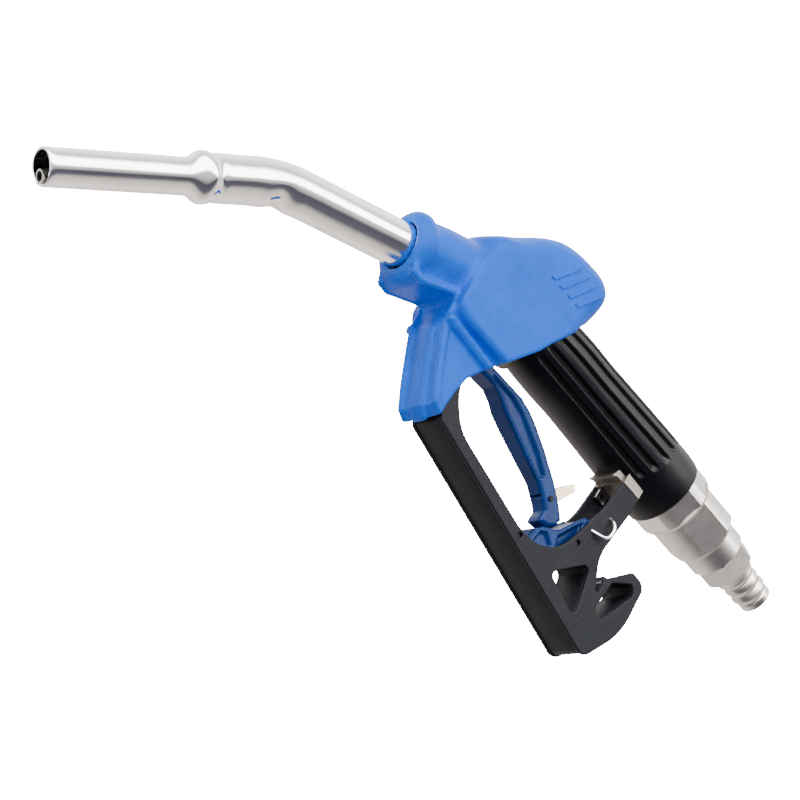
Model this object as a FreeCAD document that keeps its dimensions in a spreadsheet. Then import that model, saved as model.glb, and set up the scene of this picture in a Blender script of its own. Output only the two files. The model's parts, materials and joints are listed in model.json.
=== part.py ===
"""Automatic shut-off fuel nozzle, built as separate pieces in one frame.

Every piece is drawn in the handle frame: X runs along the handle towards the hose,
Z is up and the middle plane of the nozzle is y = 0.  The part's own frame has its
origin in the hose tail's plain end land, so each piece is moved back by land_centre.
"""
import FreeCAD, Part
import Sketcher
import math
import os

Vector = FreeCAD.Vector
Placement = FreeCAD.Placement
Rotation = FreeCAD.Rotation

DRIVING_SIZES = {
    # overall layout in the handle frame
    "land_centre": 224.2,
    "valve_angle": 68.0,
    "spout_angle": 24.0,
    "spout_bend": 21.42,
    # spout
    "spout_outer": 12.5,
    "tip_outer": 9.5,
    "spout_wall": 1.0,
    "spout_bend_radius": 78.0,
    "spout_root_run": 100.0,
    "spout_tip_run": 132.1,
    "tip_straight": 78.0,
    "probe_outer": 3.5,
    "probe_bore": 2.5,
    "probe_offset": 4.7,
    # handle and grip
    "barrel_radius": 17.5,
    "barrel_bore": 9.5,
    "handle_rear": 131.0,
    "grip_wall_gap": 0.1,
    "groove_floor": 21.7,
    "groove_width": 1.6,
    # guard
    "guard_width": 25.2,
    "guard_wall": 2.5,
    # scuff cover
    "cover_width": 49.0,
    "keel_width": 31.0,
    "cover_wall": 2.5,
    "collar_radius": 21.0,
    "collar_lip": 18.5,
    # lever
    "lever_width": 14.0,
    "pivot_radius": 2.0,
    "pivot_gap": 0.05,
    # valves
    "stem_radius": 2.5,
    "seat_bore": 6.0,
    "chamber_radius": 9.0,
    "plunger_radius": 5.05,
    "latch_radius": 2.9,
    # swivel
    "ring_radius": 23.2,
    "ring_flats": 43.0,
    "swivel_radius": 21.3,
    "swivel_flats": 38.0,
    "swivel_neck": 17.4,
    "swivel_bore": 9.05,
    "spigot_radius": 9.0,
    "tail_flats": 29.4,
    "tail_bore": 6.0,
    "barb_radius": 11.8,
    "land_radius": 9.9,
    "tail_end": 226.6,
}


class Size:
    """A length together with the spreadsheet expression that drives it."""

    def __init__(self, value, text):
        self.value = value
        self.text = text

    def _join(self, other, sign, result):
        return Size(result, f"({self.text} {sign} {text_of(other)})")

    def __add__(self, other):
        return self._join(other, "+", self.value + value_of(other))

    def __sub__(self, other):
        return self._join(other, "-", self.value - value_of(other))

    def __mul__(self, other):
        return self._join(other, "*", self.value * value_of(other))

    def __truediv__(self, other):
        return self._join(other, "/", self.value / value_of(other))

    def __neg__(self):
        return Size(-self.value, f"(-{self.text})")


def value_of(size):
    return size.value if isinstance(size, Size) else float(size)


def text_of(size):
    return size.text if isinstance(size, Size) else f"({float(size):.4f})"


doc = FreeCAD.newDocument("FuelNozzle")
sheet = doc.addObject("Spreadsheet::Sheet", "Sizes")
for row, (alias, number) in enumerate(DRIVING_SIZES.items(), start=1):
    sheet.set(f"A{row}", alias)
    sheet.set(f"B{row}", str(number))
    sheet.setAlias(f"B{row}", alias)
doc.recompute()

finished = {}


def size(alias):
    """The spreadsheet value called alias, ready for arithmetic and for binding."""
    return Size(DRIVING_SIZES[alias], f"Sizes.{alias}")


def bind(item, field, length):
    """Sets a property to a number, or binds it when the number comes from the sheet."""
    if isinstance(length, Size):
        item.setExpression(field, length.text)
    else:
        setattr(item, field, length)


# ---------------------------------------------------------------- frames

HANDLE = Placement(Vector(-DRIVING_SIZES["land_centre"], 0, 0), Rotation())


def along(x, z, angle):
    """Handle-frame placement at (x, z) with local X turned angle degrees up from +X."""
    return HANDLE * Placement(Vector(x, 0, z), Rotation(Vector(0, -1, 0), angle))


VALVE_ANGLE = DRIVING_SIZES["valve_angle"]
SPOUT_ANGLE = DRIVING_SIZES["spout_angle"]
PIVOT = (-38.0, -43.0)
VALVE_SPACING = 24.0
VALVE_FOOT = (PIVOT[0] + VALVE_SPACING * math.sin(math.radians(VALVE_ANGLE)),
              PIVOT[1] - VALVE_SPACING * math.cos(math.radians(VALVE_ANGLE)))
SPOUT_VERTEX = (-161.15, -59.71)
SPOUT_ROOT_RUN = DRIVING_SIZES["spout_root_run"]
SPOUT_ROOT = (SPOUT_VERTEX[0] + SPOUT_ROOT_RUN * math.cos(math.radians(SPOUT_ANGLE)),
              SPOUT_VERTEX[1] + SPOUT_ROOT_RUN * math.sin(math.radians(SPOUT_ANGLE)))

PLUNGER_AXIS = along(*PIVOT, VALVE_ANGLE)
VALVE_AXIS = along(*VALVE_FOOT, VALVE_ANGLE)
SPOUT_AXIS = along(*SPOUT_ROOT, 180.0 + SPOUT_ANGLE)


# ---------------------------------------------------------------- sketch helpers

def new_body(label):
    body = doc.addObject("PartDesign::Body", label)
    body.Label = label
    return body


def origin_feature(body, role):
    return next(item for item in body.Origin.OriginFeatures if item.Role == role)


def new_sketch(body, name, role="XZ_Plane", offset=0.0, turn=0.0):
    """A sketch on an origin plane, moved along its normal and turned about its X axis."""
    sketch = body.newObject("Sketcher::SketchObject", name)
    sketch.AttachmentSupport = [(origin_feature(body, role), "")]
    sketch.MapMode = "FlatFace"
    sketch.AttachmentOffset = Placement(Vector(0, 0, value_of(offset)),
                                        Rotation(Vector(1, 0, 0), turn))
    return sketch


def hold(sketch, kind, element, vertex, length):
    """Fixes one coordinate of a sketch point from the sketch origin."""
    index = sketch.addConstraint(
        Sketcher.Constraint(kind, -1, 1, element, vertex, value_of(length)))
    if isinstance(length, Size):
        sketch.setExpression(f"Constraints[{index}]", length.text)


def corner_tangent(before, corner, after, radius):
    """Start, middle and end of the arc that rounds a corner."""
    to_before = (before - corner).normalize()
    to_after = (after - corner).normalize()
    half_angle = to_before.getAngle(to_after) / 2
    reach = radius / math.tan(half_angle)
    bisector = (to_before + to_after).normalize()
    centre = corner + bisector * (radius / math.sin(half_angle))
    return corner + to_before * reach, centre - bisector * radius, corner + to_after * reach


def outline(sketch, corners):
    """A closed outline of (x, y) corners, or (x, y, radius) where the corner is round.

    In an outline of sharp corners each corner is fixed by its two coordinates, which the
    sheet may drive.  An outline with round corners has its tangent lines and arcs fixed.
    """
    points = [Vector(value_of(corner[0]), value_of(corner[1]), 0) for corner in corners]
    count = len(corners)
    if all(len(corner) == 2 for corner in corners):
        for i in range(count):
            side = sketch.addGeometry(Part.LineSegment(points[i], points[(i + 1) % count]), False)
            hold(sketch, "DistanceX", side, 1, corners[i][0])
            hold(sketch, "DistanceY", side, 1, corners[i][1])
            if i:
                sketch.addConstraint(Sketcher.Constraint("Coincident", side - 1, 2, side, 1))
        sketch.addConstraint(Sketcher.Constraint("Coincident", side, 2, side - count + 1, 1))
        return
    cuts = []
    for i, corner in enumerate(corners):
        if len(corner) > 2:
            cuts.append(corner_tangent(points[i - 1], points[i], points[(i + 1) % count],
                                       value_of(corner[2])))
        else:
            cuts.append((points[i], None, points[i]))
    pieces = [Part.LineSegment(cuts[i - 1][2], cuts[i][0]) for i in range(count)]
    pieces += [Part.Arc(*ends) for ends in cuts if ends[1] is not None]
    for piece in pieces:
        element = sketch.addGeometry(piece, False)
        sketch.addConstraint(Sketcher.Constraint("Block", element))


def circle(sketch, x, y, radius):
    """A full circle whose centre and radius the sheet may drive."""
    element = sketch.addGeometry(
        Part.Circle(Vector(value_of(x), value_of(y), 0), Vector(0, 0, 1), value_of(radius)), False)
    hold(sketch, "DistanceX", element, 3, x)
    hold(sketch, "DistanceY", element, 3, y)
    index = sketch.addConstraint(Sketcher.Constraint("Radius", element, value_of(radius)))
    if isinstance(radius, Size):
        sketch.setExpression(f"Constraints[{index}]", radius.text)
    return element


def pad(body, name, sketch, length):
    """A pad of the full length, half on each side of the sketch."""
    feature = body.newObject("PartDesign::Pad", name)
    feature.Profile = sketch
    feature.SideType = "Symmetric"
    bind(feature, "Length", length)
    return feature


def pocket(body, name, sketch, length):
    """A pocket of the full length, half on each side of the sketch."""
    feature = body.newObject("PartDesign::Pocket", name)
    feature.Profile = sketch
    feature.SideType = "Symmetric"
    bind(feature, "Length", length)
    return feature


def revolve(body, name, sketch, kind="PartDesign::Revolution", axis="H_Axis"):
    feature = body.newObject(kind, name)
    feature.Profile = sketch
    feature.ReferenceAxis = (sketch, [axis])
    feature.Angle = 360.0
    return feature


def finish(item, label, place):
    """Gives a finished sub-part its label and its place in the part's frame."""
    item.Label = label
    item.Placement = place
    finished[label] = item
    return item


def plate(label, corners, width, place=HANDLE, holes=()):
    """A flat piece: an outline in the middle plane with round holes (x, z, radius)."""
    body = new_body(label)
    sketch = new_sketch(body, label + "_outline")
    outline(sketch, corners)
    for hole in holes:
        circle(sketch, *hole)
    pad(body, label + "_pad", sketch, width)
    return finish(body, label, place)


def turned(label, profile, place):
    """A piece turned about its local X axis from (distance, radius) points."""
    body = new_body(label)
    sketch = new_sketch(body, label + "_profile")
    outline(sketch, profile)
    revolve(body, label + "_turn", sketch)
    return finish(body, label, place)


def tube(label, start, end, outer, inner, place):
    return turned(label, [(start, inner), (end, inner), (end, outer), (start, outer)], place)


def mill_flats(body, name, count, flats, start, end, outer=40.0):
    """Mills count flats on a turned body between start and end, the first facing +Z."""
    sketch = new_sketch(body, name + "_cut")
    outline(sketch, [(start, flats / 2), (end, flats / 2), (end, outer), (start, outer)])
    cut = pocket(body, name + "_pocket", sketch, outer * 2)
    pattern = body.newObject("PartDesign::PolarPattern", name + "_pattern")
    pattern.Originals = [cut]
    pattern.Axis = (origin_feature(body, "X_Axis"), [""])
    pattern.Angle = 360.0
    pattern.Occurrences = count
    body.Tip = pattern


def facing(place, angle):
    """Turns place about its X axis so that +Z faces angle degrees above the -Y side."""
    return place * Placement(Vector(), Rotation(Vector(1, 0, 0), 90.0 - angle))


# ---------------------------------------------------------------- primitives

def cylinder(name, start, end, radius, place):
    """A cylinder between two distances along the local X axis of place."""
    item = doc.addObject("Part::Cylinder", name)
    bind(item, "Radius", radius)
    bind(item, "Height", end - start)
    item.Placement = place * Placement(Vector(value_of(start), 0, 0), Rotation(Vector(0, 1, 0), 90))
    return item


def block(name, x0, x1, width, z0, z1, place=HANDLE):
    """A box centred on the middle plane."""
    item = doc.addObject("Part::Box", name)
    bind(item, "Length", x1 - x0)
    bind(item, "Width", width)
    bind(item, "Height", z1 - z0)
    item.Placement = place * Placement(Vector(x0, -value_of(width) / 2, z0), Rotation())
    return item


def fuse(name, shapes):
    item = doc.addObject("Part::MultiFuse", name)
    item.Shapes = shapes
    return item


def cut(name, base, tool):
    item = doc.addObject("Part::Cut", name)
    item.Base = base
    item.Tool = tool
    return item


def spring(label, start, end, radius, wire, turns, place):
    """A compression spring between two distances along the local X axis of place."""
    height = end - start - 2 * wire
    helix = doc.addObject("Part::Helix", label + "_helix")
    helix.Radius = radius
    helix.Height = height
    helix.Pitch = height / turns
    section = doc.addObject("Part::Circle", label + "_wire")
    section.Radius = wire
    section.Placement = Placement(Vector(radius, 0, 0), Rotation(Vector(1, 0, 0), 90))
    sweep = doc.addObject("Part::Sweep", label)
    sweep.Sections = [section]
    sweep.Spine = (helix, ["Edge1"])
    sweep.Solid = True
    sweep.Frenet = True
    upright = Placement(Vector(start + wire, 0, 0), Rotation(Vector(0, 1, 0), 90))
    return finish(sweep, label, place * upright)


# ---------------------------------------------------------------- cast body

def nozzle_body():
    """The aluminium casting: handle barrel, two valve housings and the spout socket."""
    outside = fuse("casting_outside", [
        cylinder("barrel", -14.0, size("handle_rear"), size("barrel_radius"), HANDLE),
        cylinder("plunger_foot", 14.0, 40.0, 9.7, PLUNGER_AXIS),
        cylinder("plunger_housing", 34.0, 72.0, 13.5, PLUNGER_AXIS),
        cylinder("diaphragm_bowl", 70.0, 77.0, 16.5, PLUNGER_AXIS),
        cylinder("valve_foot", 30.0, 47.0, 9.7, VALVE_AXIS),
        cylinder("valve_housing", 45.0, 70.0, 12.5, VALVE_AXIS),
        cylinder("spout_socket", -60.0, -1.0, 17.0, SPOUT_AXIS),
        block("guard_lug", -29.0, -20.0, 19.6, -33.6, -8.0)])
    inside = fuse("casting_inside", [
        cylinder("barrel_bore", 12.0, size("handle_rear") + 1, size("barrel_bore"), HANDLE),
        cylinder("inlet_thread", 112.0, size("handle_rear") + 1, 13.0, HANDLE),
        cylinder("poppet_chamber", 47.9, 75.0, size("chamber_radius"), VALVE_AXIS),
        cylinder("cap_seat", 70.0, 80.0, 10.9, VALVE_AXIS),
        cylinder("outlet_chamber", 38.0, 49.0, 7.5, VALVE_AXIS),
        cylinder("gland_bore", 29.0, 39.0, 5.5, VALVE_AXIS),
        cylinder("outlet_port", 0.0, 25.5, 5.0, along(-26.0, -9.0, -12.0)),
        cylinder("outlet_gallery", -56.0, -26.0, 10.0, SPOUT_AXIS),
        cylinder("check_bore", -27.0, 1.0, 13.6, SPOUT_AXIS),
        cylinder("diaphragm_well", 72.0, 78.0, 13.0, PLUNGER_AXIS)])
    hollow = cut("casting_hollow", outside, inside)
    sleeved = fuse("casting_sleeved", [
        hollow, cylinder("plunger_sleeve", 14.0, 72.0, 6.8, PLUNGER_AXIS)])
    plunger_bore = fuse("plunger_bore", [
        cylinder("guide_bore", 8.0, 73.0, size("plunger_radius") + size("pivot_gap"),
                 PLUNGER_AXIS),
        cylinder("spring_well", 8.0, 26.0, 7.2, PLUNGER_AXIS)])
    bored = cut("casting_bored", sleeved, plunger_bore)
    screw_holes = fuse("casting_screw_holes", [
        cylinder("guard_screw_hole", 4.0, 11.0, 1.6, side_place(side, GUARD_SCREW))
        for side in (-1, 1)])
    casting = cut("nozzle_body_cut", bored, screw_holes)
    finish(casting, "nozzle_body", Placement())


GUARD_SCREW = (-24.0, -29.5)


def side_place(side, point):
    """Placement at (x, z) with local X pointing out of the chosen side (-1 near, 1 far)."""
    return HANDLE * Placement(Vector(point[0], 0, point[1]), Rotation(Vector(0, 0, 1), 90 * side))


# ---------------------------------------------------------------- hand grip

GROOVE_COUNT = 14
GROOVE_SPAN = 271.6
GRIP_SECTIONS = (
    # distance along the handle, centre below the axis, radius
    (-4.0, 0.0, 19.6),
    (17.0, 0.9, 21.4),
    (32.0, 0.8, 23.3),
    (50.0, 0.2, 23.0),
    (80.0, 0.0, 23.8),
    (104.0, 0.2, 24.5),
    (131.0, 0.0, 24.6),
)


def grip_sleeve():
    """The moulded hand grip, lofted along the handle, with fine finger grooves."""
    body = new_body("grip_sleeve")
    sections = []
    for index, (distance, drop, radius) in enumerate(GRIP_SECTIONS):
        sketch = new_sketch(body, f"grip_section_{index}", "YZ_Plane", distance)
        circle(sketch, 0.0, -drop, radius)
        sections.append(sketch)
    loft = body.newObject("PartDesign::AdditiveLoft", "grip_loft")
    loft.Profile = sections[0]
    loft.Sections = sections[1:]
    bore = new_sketch(body, "grip_bore", "YZ_Plane")
    circle(bore, 0.0, 0.0, size("barrel_radius") + size("grip_wall_gap"))
    pocket(body, "grip_bore_pocket", bore, 600.0)
    lug_slot = new_sketch(body, "lug_slot")
    outline(lug_slot, [(94.0, -12.0), (113.0, -12.0), (113.0, -34.0), (84.0, -34.0)])
    pocket(body, "lug_slot_pocket", lug_slot, size("guard_width") + 0.8)
    nose_slots = new_sketch(body, "valve_cap_slot")
    outline(nose_slots, [(-20.0, 4.0), (24.0, 4.0), (24.0, 40.0), (-20.0, 40.0)])
    pocket(body, "valve_cap_slot_pocket", nose_slots, 24.0)
    foot_slot = new_sketch(body, "valve_foot_slot")
    outline(foot_slot, [(-20.0, -40.0), (10.0, -40.0), (10.0, -4.0), (-20.0, -4.0)])
    pocket(body, "valve_foot_slot_pocket", foot_slot, 20.8)
    groove = new_sketch(body, "finger_groove", turn=-GROOVE_SPAN / 2)
    outline(groove, [(14.0, size("groove_floor")), (117.0, size("groove_floor")),
                     (119.0, 28.0), (12.0, 28.0)])
    first = pocket(body, "finger_groove_pocket", groove, size("groove_width"))
    pattern = body.newObject("PartDesign::PolarPattern", "finger_grooves")
    pattern.Originals = [first]
    pattern.Axis = (origin_feature(body, "X_Axis"), [""])
    pattern.Angle = GROOVE_SPAN
    pattern.Occurrences = GROOVE_COUNT
    body.Tip = pattern
    finish(body, "grip_sleeve", HANDLE)


# ---------------------------------------------------------------- scuff cover

SLAB = ((-60.0, -2.0, 30), (-20.0, 49.0, 16), (2.0, 57.0, 26),
        (26.0, 53.0, 12), (27.5, 26.0, 30), (9.0, -6.0, 30), (-8.0, -42.0), (-48.0, -42.0),
        (-53.0, -20.0, 12))
SLAB_INSIDE = ((-58.0, -3.0, 28), (-18.5, 46.4, 13), (2.0, 54.2, 24),
               (23.4, 50.6, 10), (25.0, 27.0, 20), (40.0, 10.0), (40.0, -50.0), (-45.5, -50.0),
               (-50.5, -20.0, 10))
KEEL = ((-47.7, -36.0), (-47.7, -47.0, 20), (-33.0, -75.0, 60), (-24.5, -87.0, 4),
        (-19.0, -89.0, 2), (-15.5, -72.0, 30), (-14.0, -56.0, 30), (-4.0, -36.0))
KEEL_INSIDE = ((-45.2, -30.0), (-45.2, -47.5, 18), (-30.5, -75.5, 50), (-21.0, -92.0),
               (0.0, -92.0), (0.0, -30.0))


def scuff_cover():
    """The flexible cover: a wide upper slab, a narrow keel and a collar round the spout."""
    body = new_body("scuff_cover")
    wall = size("cover_wall")
    slab = new_sketch(body, "slab")
    outline(slab, SLAB)
    slab_pad = pad(body, "slab_pad", slab, size("cover_width"))
    doc.recompute()
    rounded = body.newObject("PartDesign::Fillet", "slab_edges")
    rounded.Base = (slab_pad, side_edges(slab_pad, value_of(size("cover_width")) / 2, -40.0))
    rounded.Radius = 6.0
    keel = new_sketch(body, "keel")
    outline(keel, KEEL)
    pad(body, "keel_pad", keel, size("keel_width"))
    collar = new_sketch(body, "collar")
    spout_line(collar)
    turned_about_spout(collar, [(-64.0, 0.0), (22.0, 0.0), (26.0, size("collar_lip")),
                                (14.0, size("collar_radius")), (-64.0, size("collar_radius"))])
    revolve(body, "collar_turn", collar, axis="Axis0")
    inner_slab = new_sketch(body, "slab_inside")
    outline(inner_slab, SLAB_INSIDE)
    pocket(body, "slab_inside_pocket", inner_slab, size("cover_width") - wall * 2)
    inner_keel = new_sketch(body, "keel_inside")
    outline(inner_keel, KEEL_INSIDE)
    pocket(body, "keel_inside_pocket", inner_keel, size("keel_width") - wall * 2)
    throat = new_sketch(body, "collar_inside")
    spout_line(throat)
    bore = size("collar_radius") - wall
    turned_about_spout(throat, [(-60.0, 0.0), (30.0, 0.0), (30.0, 17.6), (15.0, 17.6),
                                (10.0, bore), (-60.0, bore)])
    revolve(body, "collar_groove", throat, "PartDesign::Groove", "Axis0")
    finish(body, "scuff_cover", HANDLE)


def spout_line(sketch):
    """The spout's axis as a construction line: the sketch's Axis0."""
    line = Part.LineSegment(spout_point(-80.0, 0.0), spout_point(40.0, 0.0))
    element = sketch.addGeometry(line, True)
    sketch.addConstraint(Sketcher.Constraint("Block", element))


def spout_point(distance, radius):
    """Handle-frame sketch point at a distance along the spout axis and a radius above it."""
    angle = math.radians(180.0 + SPOUT_ANGLE)
    x = SPOUT_ROOT[0] + distance * math.cos(angle) + radius * math.sin(angle)
    z = SPOUT_ROOT[1] + distance * math.sin(angle) - radius * math.cos(angle)
    return Vector(x, z, 0)


def turned_about_spout(sketch, profile):
    """A closed profile of (distance, radius) points beside the spout's axis."""
    points = [spout_point(value_of(d), value_of(r)) for d, r in profile]
    outline(sketch, [(point.x, point.y) for point in points])


def side_edges(feature, half_width, lowest):
    """Names of the edges that lie in either flat side, above the lowest height."""
    names = []
    for index, edge in enumerate(feature.Shape.Edges, start=1):
        box = edge.BoundBox
        in_side = abs(abs(box.YMin) - half_width) < 1e-3 and box.YLength < 1e-3
        if in_side and box.ZMax > lowest:
            names.append(f"Edge{index}")
    return names


# ---------------------------------------------------------------- spout

def spout_tube():
    """Bent spout: a thick tube, a step and the slimmer tip."""
    body = new_body("spout_tube")
    run = SPOUT_ROOT_RUN
    bend = math.radians(DRIVING_SIZES["spout_bend"])
    tip_run = DRIVING_SIZES["spout_tip_run"]
    step = tip_run - DRIVING_SIZES["tip_straight"]
    path = new_sketch(body, "spout_path")
    bend_path(path, 0.0, run, step - 6.0, bend, DRIVING_SIZES["spout_bend_radius"])
    ring = new_sketch(body, "spout_ring", "YZ_Plane")
    circle(ring, 0.0, 0.0, size("spout_outer"))
    circle(ring, 0.0, 0.0, size("spout_outer") - size("spout_wall") * 1.2)
    pipe = body.newObject("PartDesign::AdditivePipe", "spout_pipe")
    pipe.Profile = ring
    pipe.Spine = (path, [f"Edge{i}" for i in (1, 2, 3)])
    tip = new_sketch(body, "tip_profile")
    frame = tip_frame(run, bend)
    axis = tip.addGeometry(Part.LineSegment(frame(0.0, 0.0), frame(tip_run, 0.0)), True)
    tip.addConstraint(Sketcher.Constraint("Block", axis))
    outer = DRIVING_SIZES["spout_outer"]
    slim = DRIVING_SIZES["tip_outer"]
    wall = DRIVING_SIZES["spout_wall"]
    profile = [(step - 6.0, outer - wall * 1.2), (step - 6.0, outer), (step - 1.5, outer + 0.3),
               (step, slim + 1.4), (step + 3.0, slim), (tip_run - 0.8, slim),
               (tip_run, slim - 0.5), (tip_run, slim - wall), (step + 1.0, slim - wall)]
    outline(tip, [(frame(d, r).x, frame(d, r).y) for d, r in profile])
    revolve(body, "tip_turn", tip, axis="Axis0")
    finish(body, "spout_tube", SPOUT_AXIS)


def tip_frame(run, bend):
    """Maps (distance, radius) about the tip section's axis to spout sketch points."""
    def point(distance, radius):
        x = run + distance * math.cos(bend) + radius * math.sin(bend)
        z = distance * math.sin(bend) - radius * math.cos(bend)
        return Vector(x, z, 0)
    return point


def bend_path(sketch, offset, run, tip_run, bend, radius):
    """Straight, arc and straight in the spout's frame, offset towards its lower side."""
    shift = offset * math.tan(bend / 2)
    tangent = (radius - offset) * math.tan(bend / 2)
    vertex = Vector(run - shift, offset, 0)
    onward = Vector(math.cos(bend), math.sin(bend), 0)
    start = Vector(0.0, offset, 0)
    enter = vertex - Vector(tangent, 0, 0)
    leave = vertex + onward * tangent
    centre = Vector(enter.x, offset + radius - offset, 0)
    middle = centre + Vector(math.sin(bend / 2), -math.cos(bend / 2), 0) * (radius - offset)
    end = vertex + onward * (tip_run + shift)
    for piece in (Part.LineSegment(start, enter), Part.Arc(enter, middle, leave),
                  Part.LineSegment(leave, end)):
        element = sketch.addGeometry(piece, False)
        sketch.addConstraint(Sketcher.Constraint("Block", element))


def sensing_tube():
    """The air-sensing tube that follows the lower wall inside the spout."""
    body = new_body("sensing_tube")
    path = new_sketch(body, "probe_path")
    offset = DRIVING_SIZES["probe_offset"]
    bend_path(path, offset, SPOUT_ROOT_RUN, DRIVING_SIZES["spout_tip_run"] - 0.5,
              math.radians(DRIVING_SIZES["spout_bend"]), DRIVING_SIZES["spout_bend_radius"])
    ring = new_sketch(body, "probe_ring", "YZ_Plane")
    circle(ring, 0.0, offset, size("probe_outer"))
    circle(ring, 0.0, offset, size("probe_bore"))
    pipe = body.newObject("PartDesign::AdditivePipe", "probe_pipe")
    pipe.Profile = ring
    pipe.Spine = (path, [f"Edge{i}" for i in (1, 2, 3)])
    finish(body, "sensing_tube", SPOUT_AXIS)


def spout_fittings():
    """Clamp sleeve, seal and check valve between the casting and the spout."""
    tube("spout_clamp_sleeve", -8.0, 9.0, 13.5, 12.55, SPOUT_AXIS)
    tube("spout_nut", 9.1, 14.0, 16.0, 12.55, SPOUT_AXIS)
    tube("drip_ring", 14.2, 17.0, 17.4, 12.6, SPOUT_AXIS)
    tube("check_seat", -27.0, -23.0, 13.5, 7.0, SPOUT_AXIS)
    turned("check_poppet", [(-29.0, 0.0), (-17.0, 0.0), (-17.0, 3.0), (-20.0, 3.0),
                            (-20.0, 10.0), (-22.7, 10.0), (-22.7, 6.4), (-27.0, 6.4),
                            (-29.0, 4.0)], SPOUT_AXIS)
    tube("check_spring_stop", -10.0, -8.2, 13.5, 8.0, SPOUT_AXIS)
    spring("check_spring", -19.8, -10.2, 9.4, 0.5, 4, SPOUT_AXIS)


# ---------------------------------------------------------------- main valve

def main_valve():
    """Seat, poppet, stem, spring and gland on the rear valve axis."""
    tube("main_seat", 45.5, 48.0, 7.4, size("seat_bore"), VALVE_AXIS)
    turned("main_poppet", [(48.2, 2.55), (55.0, 2.55), (55.0, 4.0), (51.5, 4.0), (51.5, 8.0),
                           (49.0, 8.0), (48.2, 7.0)], VALVE_AXIS)
    turned("main_stem", [(16.4, 0.0), (57.0, 0.0), (57.0, size("stem_radius")),
                         (18.0, size("stem_radius")), (16.4, 1.4)], VALVE_AXIS)
    spring("main_spring", 51.7, 69.4, 6.6, 0.7, 5, VALVE_AXIS)
    turned("valve_cap", [(66.5, 0.0), (73.0, 0.0), (73.0, 10.6), (70.1, 10.6), (70.1, 8.9),
                         (69.6, 8.9), (69.6, 3.4), (66.5, 3.4)], VALVE_AXIS)
    tube("gland_packing", 34.0, 37.9, 5.4, 2.55, VALVE_AXIS)
    turned("gland_nut", [(27.9, 2.6), (33.9, 2.6), (33.9, 5.4), (29.9, 5.4), (29.9, 6.2),
                         (27.9, 6.2)], VALVE_AXIS)


# ---------------------------------------------------------------- shut-off mechanism

def shut_off():
    """Plunger, latch pin, diaphragm and springs on the front valve axis."""
    plunger_outline = [
        (12.3, 0.0), (52.0, 0.0), (52.0, size("latch_radius") + 0.1),
        (69.0, size("latch_radius") + 0.1), (69.0, size("plunger_radius")),
        (24.0, size("plunger_radius")), (24.0, 6.9), (21.5, 6.9),
        (21.5, size("plunger_radius")), (12.3, size("plunger_radius"))]
    body = new_body("plunger")
    rod = new_sketch(body, "plunger_profile")
    outline(rod, plunger_outline)
    revolve(body, "plunger_turn", rod)
    tongue = new_sketch(body, "tongue")
    outline(tongue, [(-4.2, -4.2, 4.1), (13.0, -4.2), (13.0, 4.2), (-4.2, 4.2, 4.1)])
    pad(body, "tongue_pad", tongue, 4.4)
    slot = new_sketch(body, "lost_motion_slot")
    slot_radius = value_of(size("pivot_radius")) + 0.1
    outline(slot, [(-slot_radius, -slot_radius, slot_radius - 0.01),
                   (4.4 + slot_radius, -slot_radius, slot_radius - 0.01),
                   (4.4 + slot_radius, slot_radius, slot_radius - 0.01),
                   (-slot_radius, slot_radius, slot_radius - 0.01)])
    pocket(body, "lost_motion_pocket", slot, 20.0)
    holes = new_sketch(body, "roller_hole")
    circle(holes, 62.0, 0.0, 1.06)
    pocket(body, "roller_hole_pocket", holes, 20.0)
    finish(body, "plunger", PLUNGER_AXIS)
    tube("plunger_nut", 12.0, 16.0, 7.1, 5.15, PLUNGER_AXIS)
    spring("plunger_spring", 16.2, 21.3, 6.0, 0.5, 2.5, PLUNGER_AXIS)
    turned("latch_pin", [(54.0, 0.0), (80.2, 0.0), (80.2, 2.0), (79.2, 2.0), (79.2, 8.6),
                         (78.2, 8.6), (78.2, size("latch_radius")),
                         (56.0, size("latch_radius")), (54.0, 1.6)], PLUNGER_AXIS)
    tube("diaphragm", 77.05, 77.95, 16.4, 3.3, PLUNGER_AXIS)
    turned("bonnet_cap", [(84.5, 0.0), (86.5, 0.0), (86.5, 14.5), (85.0, 16.5), (78.0, 16.5),
                          (78.0, 11.5), (84.5, 11.5)], PLUNGER_AXIS)
    spring("diaphragm_spring", 79.4, 84.3, 5.0, 0.4, 2.5, PLUNGER_AXIS)
    rollers = []
    for side in (-1, 1):
        place = PLUNGER_AXIS * Placement(Vector(62.0, 0, 0), Rotation(Vector(0, 0, 1), 90 * side))
        rollers.append(cylinder(f"roller_{side + 1}", 3.02, 4.95, 1.0, place))
    finish(fuse("latch_rollers", rollers), "latch_rollers", Placement())
    screws = []
    for turn in (45.0, 135.0, 225.0, 315.0):
        place = PLUNGER_AXIS * Placement(Vector(), Rotation(Vector(1, 0, 0), turn)) \
            * Placement(Vector(0, 0, 13.9), Rotation())
        screws.append(cylinder(f"cap_screw_{turn:.0f}", 86.55, 88.0, 2.0, place))
    finish(fuse("bonnet_screws", screws), "bonnet_screws", Placement())


# ---------------------------------------------------------------- lever

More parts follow.
